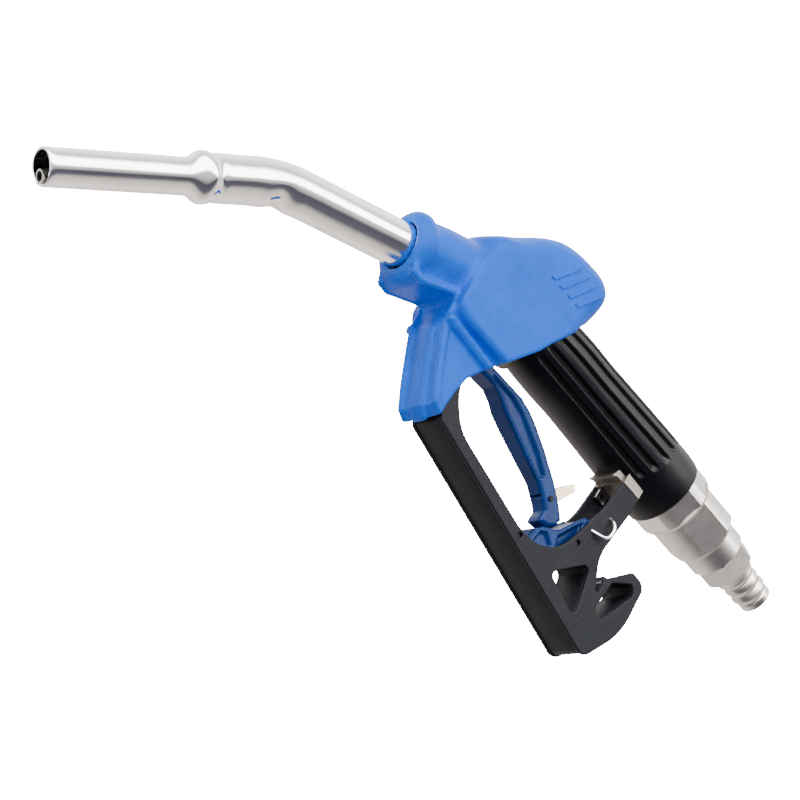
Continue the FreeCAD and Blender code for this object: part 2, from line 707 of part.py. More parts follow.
def lever():
    """The trigger lever: a thick moulded bar with a slotted nose and a hooked foot."""
    body = new_body("lever")
    side = new_sketch(body, "lever_side")
    outline(side, LEVER_SIDE)
    circle(side, *PIVOT, size("pivot_radius") + size("pivot_gap"))
    pad(body, "lever_pad", side, size("lever_width"))
    nose = new_sketch(body, "nose_slot")
    outline(nose, [(-46.0, -56.0), (-28.5, -56.0), (-28.5, -34.0), (-46.0, -34.0)])
    pocket(body, "nose_slot_pocket", nose, 4.8)
    slot = new_sketch(body, "latch_slot")
    outline(slot, [(58.0, -52.0), (61.5, -69.0), (72.5, -72.0), (84.0, -58.0)])
    pocket(body, "latch_slot_pocket", slot, 8.6)
    rivet = new_sketch(body, "rivet_hole")
    circle(rivet, *LATCH_PIVOT, 1.5)
    pocket(body, "rivet_hole_pocket", rivet, 20.0)
    finish(body, "lever", HANDLE)


LEVER_SIDE = ((-42.4, -47.4, 4.2), (-42.4, -38.6, 4.2), (19.0, -36.9, 14),
              (34.0, -41.2, 40), (64.0, -57.0, 40), (80.4, -70.6, 8), (79.0, -77.0, 3),
              (71.5, -81.8, 3), (67.2, -80.0, 3), (67.8, -73.5, 3),
              (56.0, -66.0, 20), (16.0, -52.6, 10), (4.0, -45.4, 16))
LATCH_PIVOT = (67.0, -67.2)


def cross_pin(label, point, radius, length):
    """A pin across the nozzle, centred on the middle plane at (x, z)."""
    half = value_of(length) / 2
    pin = cylinder(label, -half, half, radius, side_place(1, point))
    return finish(pin, label, pin.Placement)


def lever_hardware():
    """Pivot pin, hold-open latch with its rivet and spring."""
    cross_pin("lever_pivot_pin", PIVOT, size("pivot_radius"), size("guard_width") - 0.4)
    x, z = LATCH_PIVOT
    plate("hold_open_latch",
          [(x - 2.6, z - 2.6, 2.4), (x + 3.0, z - 2.6, 2.4), (79.5, -50.5, 1.6), (76.5, -46.5, 1.6),
           (x - 2.6, z + 3.0, 2.4)], 8.0, holes=[(x, z, size("pivot_gap") + 1.5)])
    cross_pin("latch_rivet", LATCH_PIVOT, 1.5, size("lever_width"))


# ---------------------------------------------------------------- guard

GUARD = ((-43.0, -26.0, 3), (-43.0, -49.0, 8), (-17.3, -90.2, 3), (131.4, -125.0, 7),
         (145.8, -96.4, 50), (144.4, -63.0, 6), (133.0, -62.8, 3), (119.0, -80.0, 3),
         (120.4, -95.5, 1.5), (108.5, -72.5, 24), (112.2, -38.0), (112.2, -27.0),
         (98.0, -27.0), (96.5, -48.0, 60), (81.5, -99.5, 27), (55.0, -98.5, 25),
         (-4.0, -85.5, 24), (-22.0, -66.0, 30), (-16.0, -26.0, 3))
CHANNEL = ((-60.0, -10.0), (-60.0, -56.0), (-35.5, -56.0), (-15.2, -87.3, 2), (129.0, -120.8, 5),
           (142.4, -96.0, 48), (142.0, -50.0), (113.0, -50.0), (113.0, -10.0))
TRIANGLE = ((86.5, -103.5, 3), (106.5, -80.0, 3.2), (114.5, -112.0, 3.4))
TRIANGLE_RIM = ((82.8, -104.4), (83.2, -101.8), (104.6, -76.8), (108.8, -76.8),
                (117.4, -112.6), (115.2, -115.0))
HOOK_WALL = ((109.6, -50.0), (106.2, -70.0), (119.8, -97.0), (121.0, -101.0), (131.0, -104.0),
             (143.2, -73.0), (141.2, -66.4), (133.4, -64.2), (120.6, -80.0), (122.2, -96.6),
             (109.9, -72.6), (111.6, -50.0))
HOOK_SLOT = ((124.5, -78.0, 2.5), (136.5, -68.5, 3), (140.5, -73.0, 3), (129.5, -101.0, 4),
             (122.5, -98.0, 4))


def lever_guard():
    """The black guard: two side plates joined by a web along the bottom and the back."""
    body = new_body("lever_guard")
    side = new_sketch(body, "guard_side")
    outline(side, GUARD)
    pad(body, "guard_pad", side, size("guard_width"))
    channel = new_sketch(body, "guard_channel")
    outline(channel, CHANNEL)
    pocket(body, "guard_channel_pocket", channel, size("guard_width") - size("guard_wall") * 2)
    rims = new_sketch(body, "guard_rims")
    for rim in (TRIANGLE_RIM, HOOK_WALL):
        outline(rims, rim)
    pad(body, "guard_rims_pad", rims, size("guard_width") - size("guard_wall"))
    windows = new_sketch(body, "guard_windows")
    outline(windows, TRIANGLE)
    outline(windows, HOOK_SLOT)
    for pin in RACK_PINS:
        circle(windows, *pin, 1.7)
    circle(windows, *GUARD_SCREW, 1.7)
    circle(windows, *PIVOT, size("pivot_radius") + size("pivot_gap"))
    pocket(body, "guard_windows_pocket", windows, 60.0)
    finish(body, "lever_guard", HANDLE)
    screws = []
    for hand in (-1, 1):
        place = side_place(hand, GUARD_SCREW)
        screws.append(cylinder(f"screw_shank_{hand + 1}", 4.2, 12.8, 1.5, place))
        screws.append(cylinder(f"screw_head_{hand + 1}", 12.65, 12.95, 2.6, place))
    finish(fuse("guard_screws", screws), "guard_screws", Placement())


RACK = ((56.0, -100.4), (64.0, -97.4), (66.0, -86.5, 2), (71.5, -82.6, 3), (80.3, -77.8, 4),
        (85.5, -66.8, 6), (90.5, -59.5, 1.2), (94.8, -58.2, 1.2), (96.0, -68.0, 20),
        (95.0, -80.0, 14), (86.0, -97.0, 14), (73.0, -104.0, 12), (56.0, -103.6))
RACK_PINS = ((59.0, -102.0), (92.5, -77.5))


def hold_open_rack():
    """The curved rack between the guard's plates, under the lever's foot."""
    body = plate("hold_open_rack", RACK, 19.8)
    holes = new_sketch(body, "rack_holes")
    for pin in RACK_PINS:
        circle(holes, *pin, 1.2)
    pocket(body, "rack_holes_pocket", holes, 60.0)
    pins = []
    for index, point in enumerate(RACK_PINS):
        place = side_place(1, point)
        pins.append(cylinder(f"rack_pin_{index}", -11.2, 11.2, 1.15, place))
    finish(fuse("rack_pins", pins), "rack_pins", Placement())


def rear_lug():
    """The block under the handle that holds the guard's rear arm, with its nut and screw."""
    lug = plate("rear_lug", [(98.2, -18.0), (111.8, -18.0), (111.8, -26.8), (98.2, -26.8)], 25.2)
    tongue = new_sketch(lug, "tongue_side")
    outline(tongue, [(91.0, -27.5), (94.5, -18.0), (111.0, -18.0), (111.0, -25.6), (94.5, -25.6)])
    pad(lug, "tongue_side_pad", tongue, 19.8)
    seat = new_sketch(lug, "barrel_seat", "YZ_Plane")
    circle(seat, 0.0, 0.0, size("barrel_radius") + size("grip_wall_gap"))
    pocket(lug, "barrel_seat_pocket", seat, 400.0)
    nut_place = along(103.0, -30.4, 0.0) * Placement(Vector(0, 8.5, 0), Rotation())
    nut = new_body("square_nut")
    square = new_sketch(nut, "nut_square")
    outline(square, [(-3.4, -3.4), (3.4, -3.4), (3.4, 3.4), (-3.4, 3.4)])
    circle(square, 0.0, 0.0, 1.4)
    pad(nut, "nut_pad", square, 3.0)
    finish(nut, "square_nut", nut_place)


def wire_loop():
    """The bright wire bail on the near side of the guard."""
    half = value_of(size("guard_width")) / 2
    corners = [Vector(103.0, -half, -51.0), Vector(105.7, -half - 4.0, -55.7),
               Vector(104.2, -half - 4.0, -64.7), Vector(96.0, -half, -65.0)]
    path = Part.Wire(Part.makePolygon(corners).Edges)
    start = corners[0]
    section = Part.Wire(Part.makeCircle(0.95, start, corners[1] - start))
    loop = doc.addObject("Part::Feature", "wire_loop")
    loop.Shape = path.makePipeShell([section], True, False, 2)
    finish(loop, "wire_loop", HANDLE)


# ---------------------------------------------------------------- inlet and swivel

def inlet_and_swivel():
    """Inlet ring, strainer, swivel body and the turning hose tail."""
    ring_place = facing(HANDLE, -32.0)
    ring = turned("inlet_ring", [(131.0, 16.1), (146.0, 16.1), (146.0, 21.4),
                                 (143.5, size("ring_radius")), (131.0, size("ring_radius"))],
                  ring_place)
    mill_flats(ring, "inlet_ring", 6, size("ring_flats"), 130.0, 144.0)
    body = turned("swivel_body", [
        (118.0, size("swivel_bore")), (185.3, size("swivel_bore")),
        (185.3, size("swivel_neck")), (173.5, size("swivel_neck")),
        (169.5, size("swivel_radius")), (146.1, size("swivel_radius")), (146.1, 16.0),
        (131.1, 16.0), (131.1, 12.9), (118.0, 12.9)], facing(HANDLE, -27.0))
    mill_flats(body, "swivel_body", 4, size("swivel_flats"), 146.0, 174.0)
    turned("inlet_strainer", [(84.0, 0.0), (86.0, 0.0), (86.0, 5.4), (117.9, 7.2), (117.9, 9.3),
                              (116.4, 9.3), (116.4, 8.2), (84.0, 6.4)], HANDLE)
    tail = turned("hose_tail", [
        (165.0, size("tail_bore")), (size("tail_end"), size("tail_bore")),
        (size("tail_end"), size("land_radius") - 0.8),
        (size("tail_end") - 0.6, size("land_radius")), (222.4, size("land_radius")),
        (221.4, 9.4), (218.4, 11.0), (217.4, 11.0), (215.4, 10.3), (214.4, 9.8),
        (211.4, 11.0), (210.4, 11.0), (208.6, 10.6), (207.6, 10.1),
        (204.4, size("barb_radius")), (203.4, size("barb_radius")),
        (200.8, 12.4), (197.5, 16.2), (196.0, 17.0), (186.2, 17.0),
        (186.2, size("spigot_radius")), (165.0, size("spigot_radius"))], facing(HANDLE, -76.0))
    mill_flats(tail, "hose_tail", 6, size("tail_flats"), 186.2, 199.0)


def check_and_export():
    """Stops on any failed object or bad shape, then writes one file for each sub-part."""
    doc.recompute()
    failed = [item.Name for item in doc.Objects
              if "Invalid" in item.State or "Error" in item.State]
    if failed:
        raise RuntimeError(f"objects failed: {failed}")
    os.makedirs("parts", exist_ok=True)
    for label, item in finished.items():
        shape = item.Shape
        if shape.isNull() or not shape.isValid() or not shape.Solids:
            raise RuntimeError(f"{label} has no valid solid")
        shape.exportStep(f"parts/{label}.step")
        print(f"{label:24s} solids {len(shape.Solids)}  volume {shape.Volume / 1000:9.3f} cm3")


for build in (nozzle_body, grip_sleeve, scuff_cover, spout_tube, sensing_tube, spout_fittings,
              main_valve, shut_off, lever, lever_hardware, lever_guard, hold_open_rack,
              rear_lug, wire_loop, inlet_and_swivel):
    build()
check_and_export()
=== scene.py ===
"""Looks of the fuel nozzle: cover, grip, spout, lever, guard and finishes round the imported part.

Sizes are millimetres in the handle's frame: X runs along the handle towards the hose, Z is up
and the middle plane is y = 0.  Meshes are moved into the part's own frame as they are made.
"""
import json
import logging
import math
from dataclasses import dataclass, field
from enum import Enum
from typing import Callable

import bpy
import numpy as np
from mathutils import Matrix, Vector


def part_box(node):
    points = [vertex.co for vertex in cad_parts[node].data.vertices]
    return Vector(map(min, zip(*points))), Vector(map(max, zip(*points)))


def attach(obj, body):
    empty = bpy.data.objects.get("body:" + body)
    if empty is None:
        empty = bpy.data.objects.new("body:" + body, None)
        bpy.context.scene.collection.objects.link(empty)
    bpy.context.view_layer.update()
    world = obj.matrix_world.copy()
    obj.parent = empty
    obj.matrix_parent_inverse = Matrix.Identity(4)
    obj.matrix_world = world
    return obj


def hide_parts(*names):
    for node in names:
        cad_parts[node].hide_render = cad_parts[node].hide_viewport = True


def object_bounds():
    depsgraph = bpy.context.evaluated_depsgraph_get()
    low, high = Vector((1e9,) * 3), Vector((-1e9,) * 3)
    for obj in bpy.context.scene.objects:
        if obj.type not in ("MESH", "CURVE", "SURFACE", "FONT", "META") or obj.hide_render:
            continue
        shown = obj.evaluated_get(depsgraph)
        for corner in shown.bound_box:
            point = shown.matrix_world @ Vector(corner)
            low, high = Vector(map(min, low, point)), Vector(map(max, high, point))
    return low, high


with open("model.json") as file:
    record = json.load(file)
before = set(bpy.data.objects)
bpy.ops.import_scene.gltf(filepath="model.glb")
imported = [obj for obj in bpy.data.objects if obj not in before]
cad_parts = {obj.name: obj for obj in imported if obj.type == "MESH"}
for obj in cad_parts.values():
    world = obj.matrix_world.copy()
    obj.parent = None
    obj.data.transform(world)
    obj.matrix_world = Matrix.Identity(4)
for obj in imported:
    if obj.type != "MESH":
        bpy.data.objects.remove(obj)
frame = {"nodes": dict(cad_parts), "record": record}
CAD_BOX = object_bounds()

HOUSING = "housing"
TRIGGER = "trigger"
MM = 0.001
TAIL_END = 226.6
HANDLE_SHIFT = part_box("hose_tail")[1][0] / MM - TAIL_END
SPOUT_ROOT = (-69.8, -19.04)
SPOUT_ANGLE = 24.0
Corner = tuple[float, ...]
log = logging.getLogger("fuel_nozzle")


# ---------------------------------------------------------------- small tools

def linear(code: str) -> tuple[float, float, float, float]:
    """Turns an sRGB hex colour into a linear colour.

    Args:
        code: Six hex digits.

    Returns:
        The linear red, green, blue and an alpha of one.
    """
    values = [int(code[i:i + 2], 16) / 255 for i in (0, 2, 4)]
    linear_values = [v / 12.92 if v <= 0.04045 else ((v + 0.055) / 1.055) ** 2.4 for v in values]
    return (*linear_values, 1.0)


def add_node(tree: bpy.types.NodeTree, kind: str, sockets: dict | None = None,
             **settings: object) -> bpy.types.Node:
    """Adds a node with its settings, and fills its sockets with values or links.

    Args:
        tree: The tree that takes the node.
        kind: The node's type name.
        sockets: Socket name or index mapped to a value or to another node's output.
        settings: Properties of the node.

    Returns:
        The new node.
    """
    node = tree.nodes.new(kind)
    for key, value in settings.items():
        setattr(node, key, value)
    for key, value in (sockets or {}).items():
        if isinstance(value, bpy.types.NodeSocket):
            tree.links.new(value, node.inputs[key])
        else:
            node.inputs[key].default_value = value
    return node


def mesh_object(name: str, points: np.ndarray, faces: list | np.ndarray) -> bpy.types.Object:
    """Makes a smooth-shaded object from handle-frame millimetres.

    Args:
        name: The piece's name.
        points: One row of x, y, z for each vertex.
        faces: Vertex indices of each face, facing outwards.

    Returns:
        The linked object, at the origin.
    """
    moved = (np.asarray(points, dtype=float) + (HANDLE_SHIFT, 0.0, 0.0)) * MM
    mesh = bpy.data.meshes.new(name)
    mesh.from_pydata(moved.tolist(), [], faces if isinstance(faces, list) else faces.tolist())
    mesh.update()
    mesh.shade_smooth()
    made = bpy.data.objects.new(name, mesh)
    bpy.context.scene.collection.objects.link(made)
    return made


def frozen(source: bpy.types.Object, name: str) -> bpy.types.Object:
    """Turns an object with live modifiers or a curve into a plain mesh object.

    Args:
        source: The object to evaluate, which is removed.
        name: The name of the result.

    Returns:
        The plain mesh object, at the origin.
    """
    depsgraph = bpy.context.evaluated_depsgraph_get()
    mesh = bpy.data.meshes.new_from_object(source.evaluated_get(depsgraph))
    mesh.name = name
    bpy.data.objects.remove(source)
    made = bpy.data.objects.new(name, mesh)
    bpy.context.scene.collection.objects.link(made)
    return made


def dress(piece: bpy.types.Object, finish: bpy.types.Material, body: str, slot: str,
          *replaced: str) -> None:
    """Gives a piece its material and body, hides the nodes it replaces, and reports it.

    Args:
        piece: The finished mesh object.
        finish: Its material.
        body: The body that it rides on.
        slot: The record's material slot; not used.
        replaced: CAD nodes that it stands for.
    """
    piece.data.materials.clear()
    piece.data.materials.append(finish)
    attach(piece, body)
    if replaced:
        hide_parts(*replaced)
    log.info("%s: %d faces on %s", piece.name, len(piece.data.polygons), body)


# ---------------------------------------------------------------- finishes

class Grain(Enum):
    """How a surface's marks lie."""

    CLOUDY = (1.0, 1.0, 1.0)
    TURNED = (1.0, 0.04, 0.04)
    DRAWN = (0.03, 1.0, 1.0)


class Coordinates(Enum):
    """What a pattern is laid out on."""

    OBJECT = "Object"
    UV = "UV"


@dataclass(frozen=True)
class Finish:
    """One finish: its colour, its gloss, the marks that making it left, and lighter edges that are
    painted highlight and wear.
    """

    name: str
    base: str
    tone: str
    metallic: float
    roughness: tuple[float, float]
    tone_mm: float
    grain_mm: float
    relief: float
    grain: Grain = Grain.CLOUDY
    coordinates: Coordinates = Coordinates.OBJECT
    specular: float = 0.5
    # Colour laid on convex edges: a painted edge highlight, partly edge wear.
    edge: str | None = None

    def material(self) -> bpy.types.Material:
        """Builds the material from noise at the two real sizes.

        Returns:
            The node-based material.
        """
        made = bpy.data.materials.new(self.name)
        made.use_nodes = True
        tree = made.node_tree
        tree.nodes.clear()
        place = add_node(tree, "ShaderNodeTexCoord").outputs[self.coordinates.value]
        lay = add_node(tree, "ShaderNodeMapping", {"Vector": place, "Scale": self.grain.value})
        clouds = add_node(tree, "ShaderNodeTexNoise",
                          {"Vector": place, "Scale": 1 / (self.tone_mm * MM), "Detail": 4.0,
                           "Roughness": 0.6})
        marks = add_node(tree, "ShaderNodeTexNoise",
                         {"Vector": lay.outputs[0], "Scale": 1 / (self.grain_mm * MM),
                          "Detail": 3.0, "Roughness": 0.65})
        spread = add_node(tree, "ShaderNodeMapRange",
                          {"Value": clouds.outputs[0], "From Min": 0.35, "From Max": 0.65})
        colour = self.blend(tree, spread.outputs[0], linear(self.base), linear(self.tone))
        # Lightens convex edges by pointiness: a painted highlight along the edges, partly wear.
        if self.edge:
            bend = add_node(tree, "ShaderNodeNewGeometry").outputs["Pointiness"]
            edge_highlight_and_wear = add_node(tree, "ShaderNodeMapRange",
                              {"Value": bend, "From Min": 0.53, "From Max": 0.62, "To Max": 0.7})
            colour = self.blend(tree, edge_highlight_and_wear.outputs[0], colour, linear(self.edge))
        low, high = self.roughness
        gloss = add_node(tree, "ShaderNodeMapRange",
                         {"Value": marks.outputs[0], "From Min": 0.3, "From Max": 0.7,
                          "To Min": low, "To Max": high})
        bump = add_node(tree, "ShaderNodeBump",
                        {"Height": marks.outputs[0], "Strength": self.relief,
                         "Distance": self.grain_mm * MM * 0.5})
        shader = add_node(tree, "ShaderNodeBsdfPrincipled",
                          {"Base Color": colour, "Metallic": self.metallic,
                           "Roughness": gloss.outputs[0], "Normal": bump.outputs[0],
                           "Specular IOR Level": self.specular})
        add_node(tree, "ShaderNodeOutputMaterial", {"Surface": shader.outputs[0]})
        return made

    @staticmethod
    def blend(tree: bpy.types.NodeTree, factor: object, first: object,
              second: object) -> bpy.types.NodeSocket:
        """Mixes two colours by a factor and returns the colour's socket."""
        mix = add_node(tree, "ShaderNodeMix", {0: factor, 6: first, 7: second}, data_type="RGBA")
        return mix.outputs[2]


# Plasticised vinyl, dip moulded: even satin blue with faint clouds and a soft orange-peel.
FLEXIBLE_VINYL = Finish("flexible_vinyl", "0060DA", "0056C8", 0.0, (0.34, 0.46), 24.0, 1.6, 0.10,
                        specular=0.14)
# Nitrile-blend hand grip, injection moulded: near black, satin, fine dusty grain.
MOULDED_GRIP = Finish("moulded_grip", "020205", "05060A", 0.0, (0.34, 0.50), 9.0, 0.7, 0.16,
                      specular=0.2)
# Glass-filled nylon guard: black with a fine eroded mould texture that reads matte.
# Its lighter edge colour is a painted edge highlight, partly edge wear.
TEXTURED_NYLON = Finish("textured_nylon", "0C0D12", "121319", 0.0, (0.50, 0.64), 14.0, 0.5, 0.30,
                        specular=0.15, edge="2A2B31")
# Acetal-like lever: deeper blue, smooth and a little glossy.
MOULDED_LEVER = Finish("moulded_lever", "0A2A60", "0E3470", 0.0, (0.24, 0.36), 15.0, 1.2, 0.08,
                       specular=0.12)
# Stainless tube, polished along its length: clear reflections with fine drawn streaks.
POLISHED_TUBE = Finish("polished_tube", "F4F3F2", "E2E0DE", 1.0, (0.05, 0.16), 30.0, 0.5, 0.08,
                       grain=Grain.DRAWN, coordinates=Coordinates.UV)
# Nickel-plated brass, turned: warm grey with fine rings round the handle's axis.
TURNED_NICKEL = Finish("turned_nickel", "D8D2CC", "C8C1BA", 1.0, (0.28, 0.42), 18.0, 0.35, 0.08,
                       grain=Grain.TURNED)
# Zinc-rich casting, tumbled: pale and slightly pebbled.
# Its pale edge colour is a painted edge highlight, partly tumbling wear.
TUMBLED_CASTING = Finish("tumbled_casting", "4E4944", "3C3733", 1.0, (0.36, 0.55), 5.0, 0.7, 0.45,
                         edge="8A847C")
# Plain machined steel pins and plates.
MACHINED_STEEL = Finish("machined_steel", "A8A6A2", "8E8C88", 1.0, (0.24, 0.42), 8.0, 0.4, 0.12,
                        grain=Grain.DRAWN)
# Small fixings, chemically blackened: nearly black with a faint oily shine.
BLACKENED_STEEL = Finish("blackened_steel", "1A1A1C", "101012", 0.6, (0.40, 0.55), 5.0, 0.4, 0.10,
                         specular=0.2)
# Oil-tempered spring wire: darker, slightly blued.
SPRING_WIRE = Finish("spring_wire", "77787C", "5E6066", 1.0, (0.28, 0.40), 6.0, 0.5, 0.08)
# Compression-moulded seal rubber.
SEAL_RUBBER = Finish("seal_rubber_black", "101010", "181818", 0.0, (0.55, 0.72), 7.0, 0.5, 0.20)
# Moulded acetal poppet: milky white.
WHITE_ACETAL = Finish("white_acetal", "E4E2DC", "D6D3CB", 0.0, (0.30, 0.42), 10.0, 0.9, 0.06)
# Bare bronze-coloured stamping with worn flats.
STAMPED_BRONZE = Finish("stamped_bronze", "E6CDB0", "D2B696", 1.0, (0.30, 0.46), 6.0, 0.6, 0.18)

FINISH_OF_SLOT = {
    "cast_aluminium": TUMBLED_CASTING, "black_grip": MOULDED_GRIP, "blue_cover": FLEXIBLE_VINYL,
    "polished_steel": POLISHED_TUBE, "steel": MACHINED_STEEL, "spring_steel": SPRING_WIRE,
    "seal_rubber": SEAL_RUBBER, "white_plastic": WHITE_ACETAL, "black_guard": TEXTURED_NYLON,
    "blue_lever": MOULDED_LEVER, "bare_latch": STAMPED_BRONZE, "satin_steel": TURNED_NICKEL}


# ---------------------------------------------------------------- carved solids

def smooth_max(a: np.ndarray, b: np.ndarray, reach: float | np.ndarray) -> np.ndarray:
    """The larger of two distances, rounded over where they are within reach."""
    overlap = np.maximum(reach - np.abs(a - b), 0.0) / reach
    return np.maximum(a, b) + overlap * overlap * reach / 4


def smooth_min(a: np.ndarray, b: np.ndarray, reach: float | np.ndarray) -> np.ndarray:
    """The smaller of two distances, filleted where they are within reach."""
    return -smooth_max(-a, -b, reach)


def smooth_step(value: np.ndarray, start: float, end: float) -> np.ndarray:
    """Rises smoothly from 0 at start to 1 at end."""
    t = np.clip((value - start) / (end - start), 0.0, 1.0)
    return t * t * (3 - 2 * t)


def half_plane(x: np.ndarray, z: np.ndarray, point: Corner, facing: float) -> np.ndarray:
    """Distance outside a straight edge through point whose outward normal faces an angle."""
    angle = math.radians(facing)
    return (x - point[0]) * math.cos(angle) + (z - point[1]) * math.sin(angle)


def outline_distance(x: np.ndarray, z: np.ndarray, corners: list[Corner]) -> np.ndarray:
    """Signed distance to a closed outline, negative inside.

    Args:
        x: Handle-frame x of each point.
        z: Handle-frame z of each point.
        corners: The outline's corners in order.

    Returns:
        The distance of each point.
    """
    nearest = np.full(x.shape, np.inf)
    sign = np.ones(x.shape)
    for i, (bx, bz) in enumerate(corners):
        ax, az = corners[i - 1]
        ex, ez = bx - ax, bz - az
        px, pz = x - ax, z - az
        t = np.clip((px * ex + pz * ez) / (ex * ex + ez * ez), 0.0, 1.0)
        nearest = np.minimum(nearest, (px - ex * t) ** 2 + (pz - ez * t) ** 2)
        crosses = ((az > z) != (bz > z)) & (px < ex * pz / (ez if ez else 1e-9))
        sign = np.where(crosses, -sign, sign)
    return sign * np.sqrt(nearest)


def line_distance(x: np.ndarray, z: np.ndarray, stops: list[Corner]) -> np.ndarray:
    """Distance to an open line through the stops."""
    nearest = np.full(x.shape, np.inf)
    for (ax, az), (bx, bz) in zip(stops, stops[1:]):
        ex, ez = bx - ax, bz - az
        t = np.clip(((x - ax) * ex + (z - az) * ez) / (ex * ex + ez * ez), 0.0, 1.0)
        nearest = np.minimum(nearest, (x - ax - ex * t) ** 2 + (z - az - ez * t) ** 2)
    return np.sqrt(nearest)


@dataclass
class Carving:
    """Meshes the zero surface of a distance function on a regular grid."""

    low: Corner
    high: Corner
    step: float
    distance: Callable[[np.ndarray, np.ndarray, np.ndarray], np.ndarray]
    settle_rounds: int = 4

    def mesh(self, name: str) -> bpy.types.Object:
        """Places one vertex in each cell that the surface crosses and joins them with quads."""
        axes = [np.arange(a, b + self.step, self.step) for a, b in zip(self.low, self.high)]
        values = self.distance(*np.meshgrid(*axes, indexing="ij"))
        inside = values < 0
        points, cell = self.crossings(values, inside)
        faces = []
        for axis in range(3):
            faces.append(self.quads(inside, cell, axis))
        points = points * self.step + np.asarray(self.low)
        for _ in range(self.settle_rounds):
            points = self.settle(points)
        return mesh_object(name, points, np.concatenate(faces))

    @staticmethod
    def crossings(values: np.ndarray, inside: np.ndarray) -> tuple[np.ndarray, np.ndarray]:
        """The mean crossing point of each mixed cell, and each cell's vertex number."""
        shape = tuple(n - 1 for n in values.shape)
        total = np.zeros(shape + (3,))
        count = np.zeros(shape)
        base = np.stack(np.meshgrid(*map(np.arange, shape), indexing="ij"), axis=-1)

        def corner(array: np.ndarray, offset: tuple[int, ...]) -> np.ndarray:
            """The array's value at one corner of every cell."""
            return array[tuple(slice(o, o + n) for o, n in zip(offset, shape))]

        for axis in range(3):
            for first in (0, 1):
                for second in (0, 1):
                    start = [first, second]
                    start.insert(axis, 0)
                    end = list(start)
                    end[axis] = 1
                    a, b = corner(values, tuple(start)), corner(values, tuple(end))
                    mixed = corner(inside, tuple(start)) != corner(inside, tuple(end))
                    share = np.where(mixed, a / np.where(mixed, a - b, 1.0), 0.0)
                    where = base + np.asarray(start, dtype=float)
                    where[..., axis] += share
                    total += where * mixed[..., None]
                    count += mixed
        used = count > 0
        cell = np.full(shape, -1)
        cell[used] = np.arange(int(used.sum()))
        return total[used] / count[used][:, None], cell

    @staticmethod
    def quads(inside: np.ndarray, cell: np.ndarray, axis: int) -> np.ndarray:
        """The quads across grid edges of one axis, facing out of the solid."""
        before = np.take(inside, range(inside.shape[axis] - 1), axis)
        after = np.take(inside, range(1, inside.shape[axis]), axis)
        edges = np.argwhere(before != after)
        u, v = [other for other in range(3) if other != axis]
        keep = np.all([edges[:, o] > 0 for o in (u, v)], axis=0)
        keep &= np.all([edges[:, o] < cell.shape[o] for o in (u, v)], axis=0)
        edges = edges[keep]
        ring = []
        for du, dv in ((-1, -1), (0, -1), (0, 0), (-1, 0)):
            place = edges.copy()
            place[:, u] += du
            place[:, v] += dv
            ring.append(cell[tuple(place.T)])
        faces = np.stack(ring, axis=1)
        leaving = before[tuple(edges.T)] ^ (axis == 1)
        faces[~leaving] = faces[~leaving][:, ::-1]
        return faces

    def settle(self, points: np.ndarray) -> np.ndarray:
        """Moves the vertices along the slope onto the surface, by half a step at most."""
        x, y, z = points.T
        here = self.distance(x, y, z)
        nudge = self.step * 0.25
        slope = np.stack([
            self.distance(x + nudge, y, z) - self.distance(x - nudge, y, z),
            self.distance(x, y + nudge, z) - self.distance(x, y - nudge, z),
            self.distance(x, y, z + nudge) - self.distance(x, y, z - nudge)], axis=1)
        slope /= 2 * nudge
        length = np.maximum((slope ** 2).sum(axis=1), 0.25)
        shift = slope * (here / length)[:, None] * 0.8
        return points - np.clip(shift, -self.step / 2, self.step / 2)


# ---------------------------------------------------------------- scuff cover

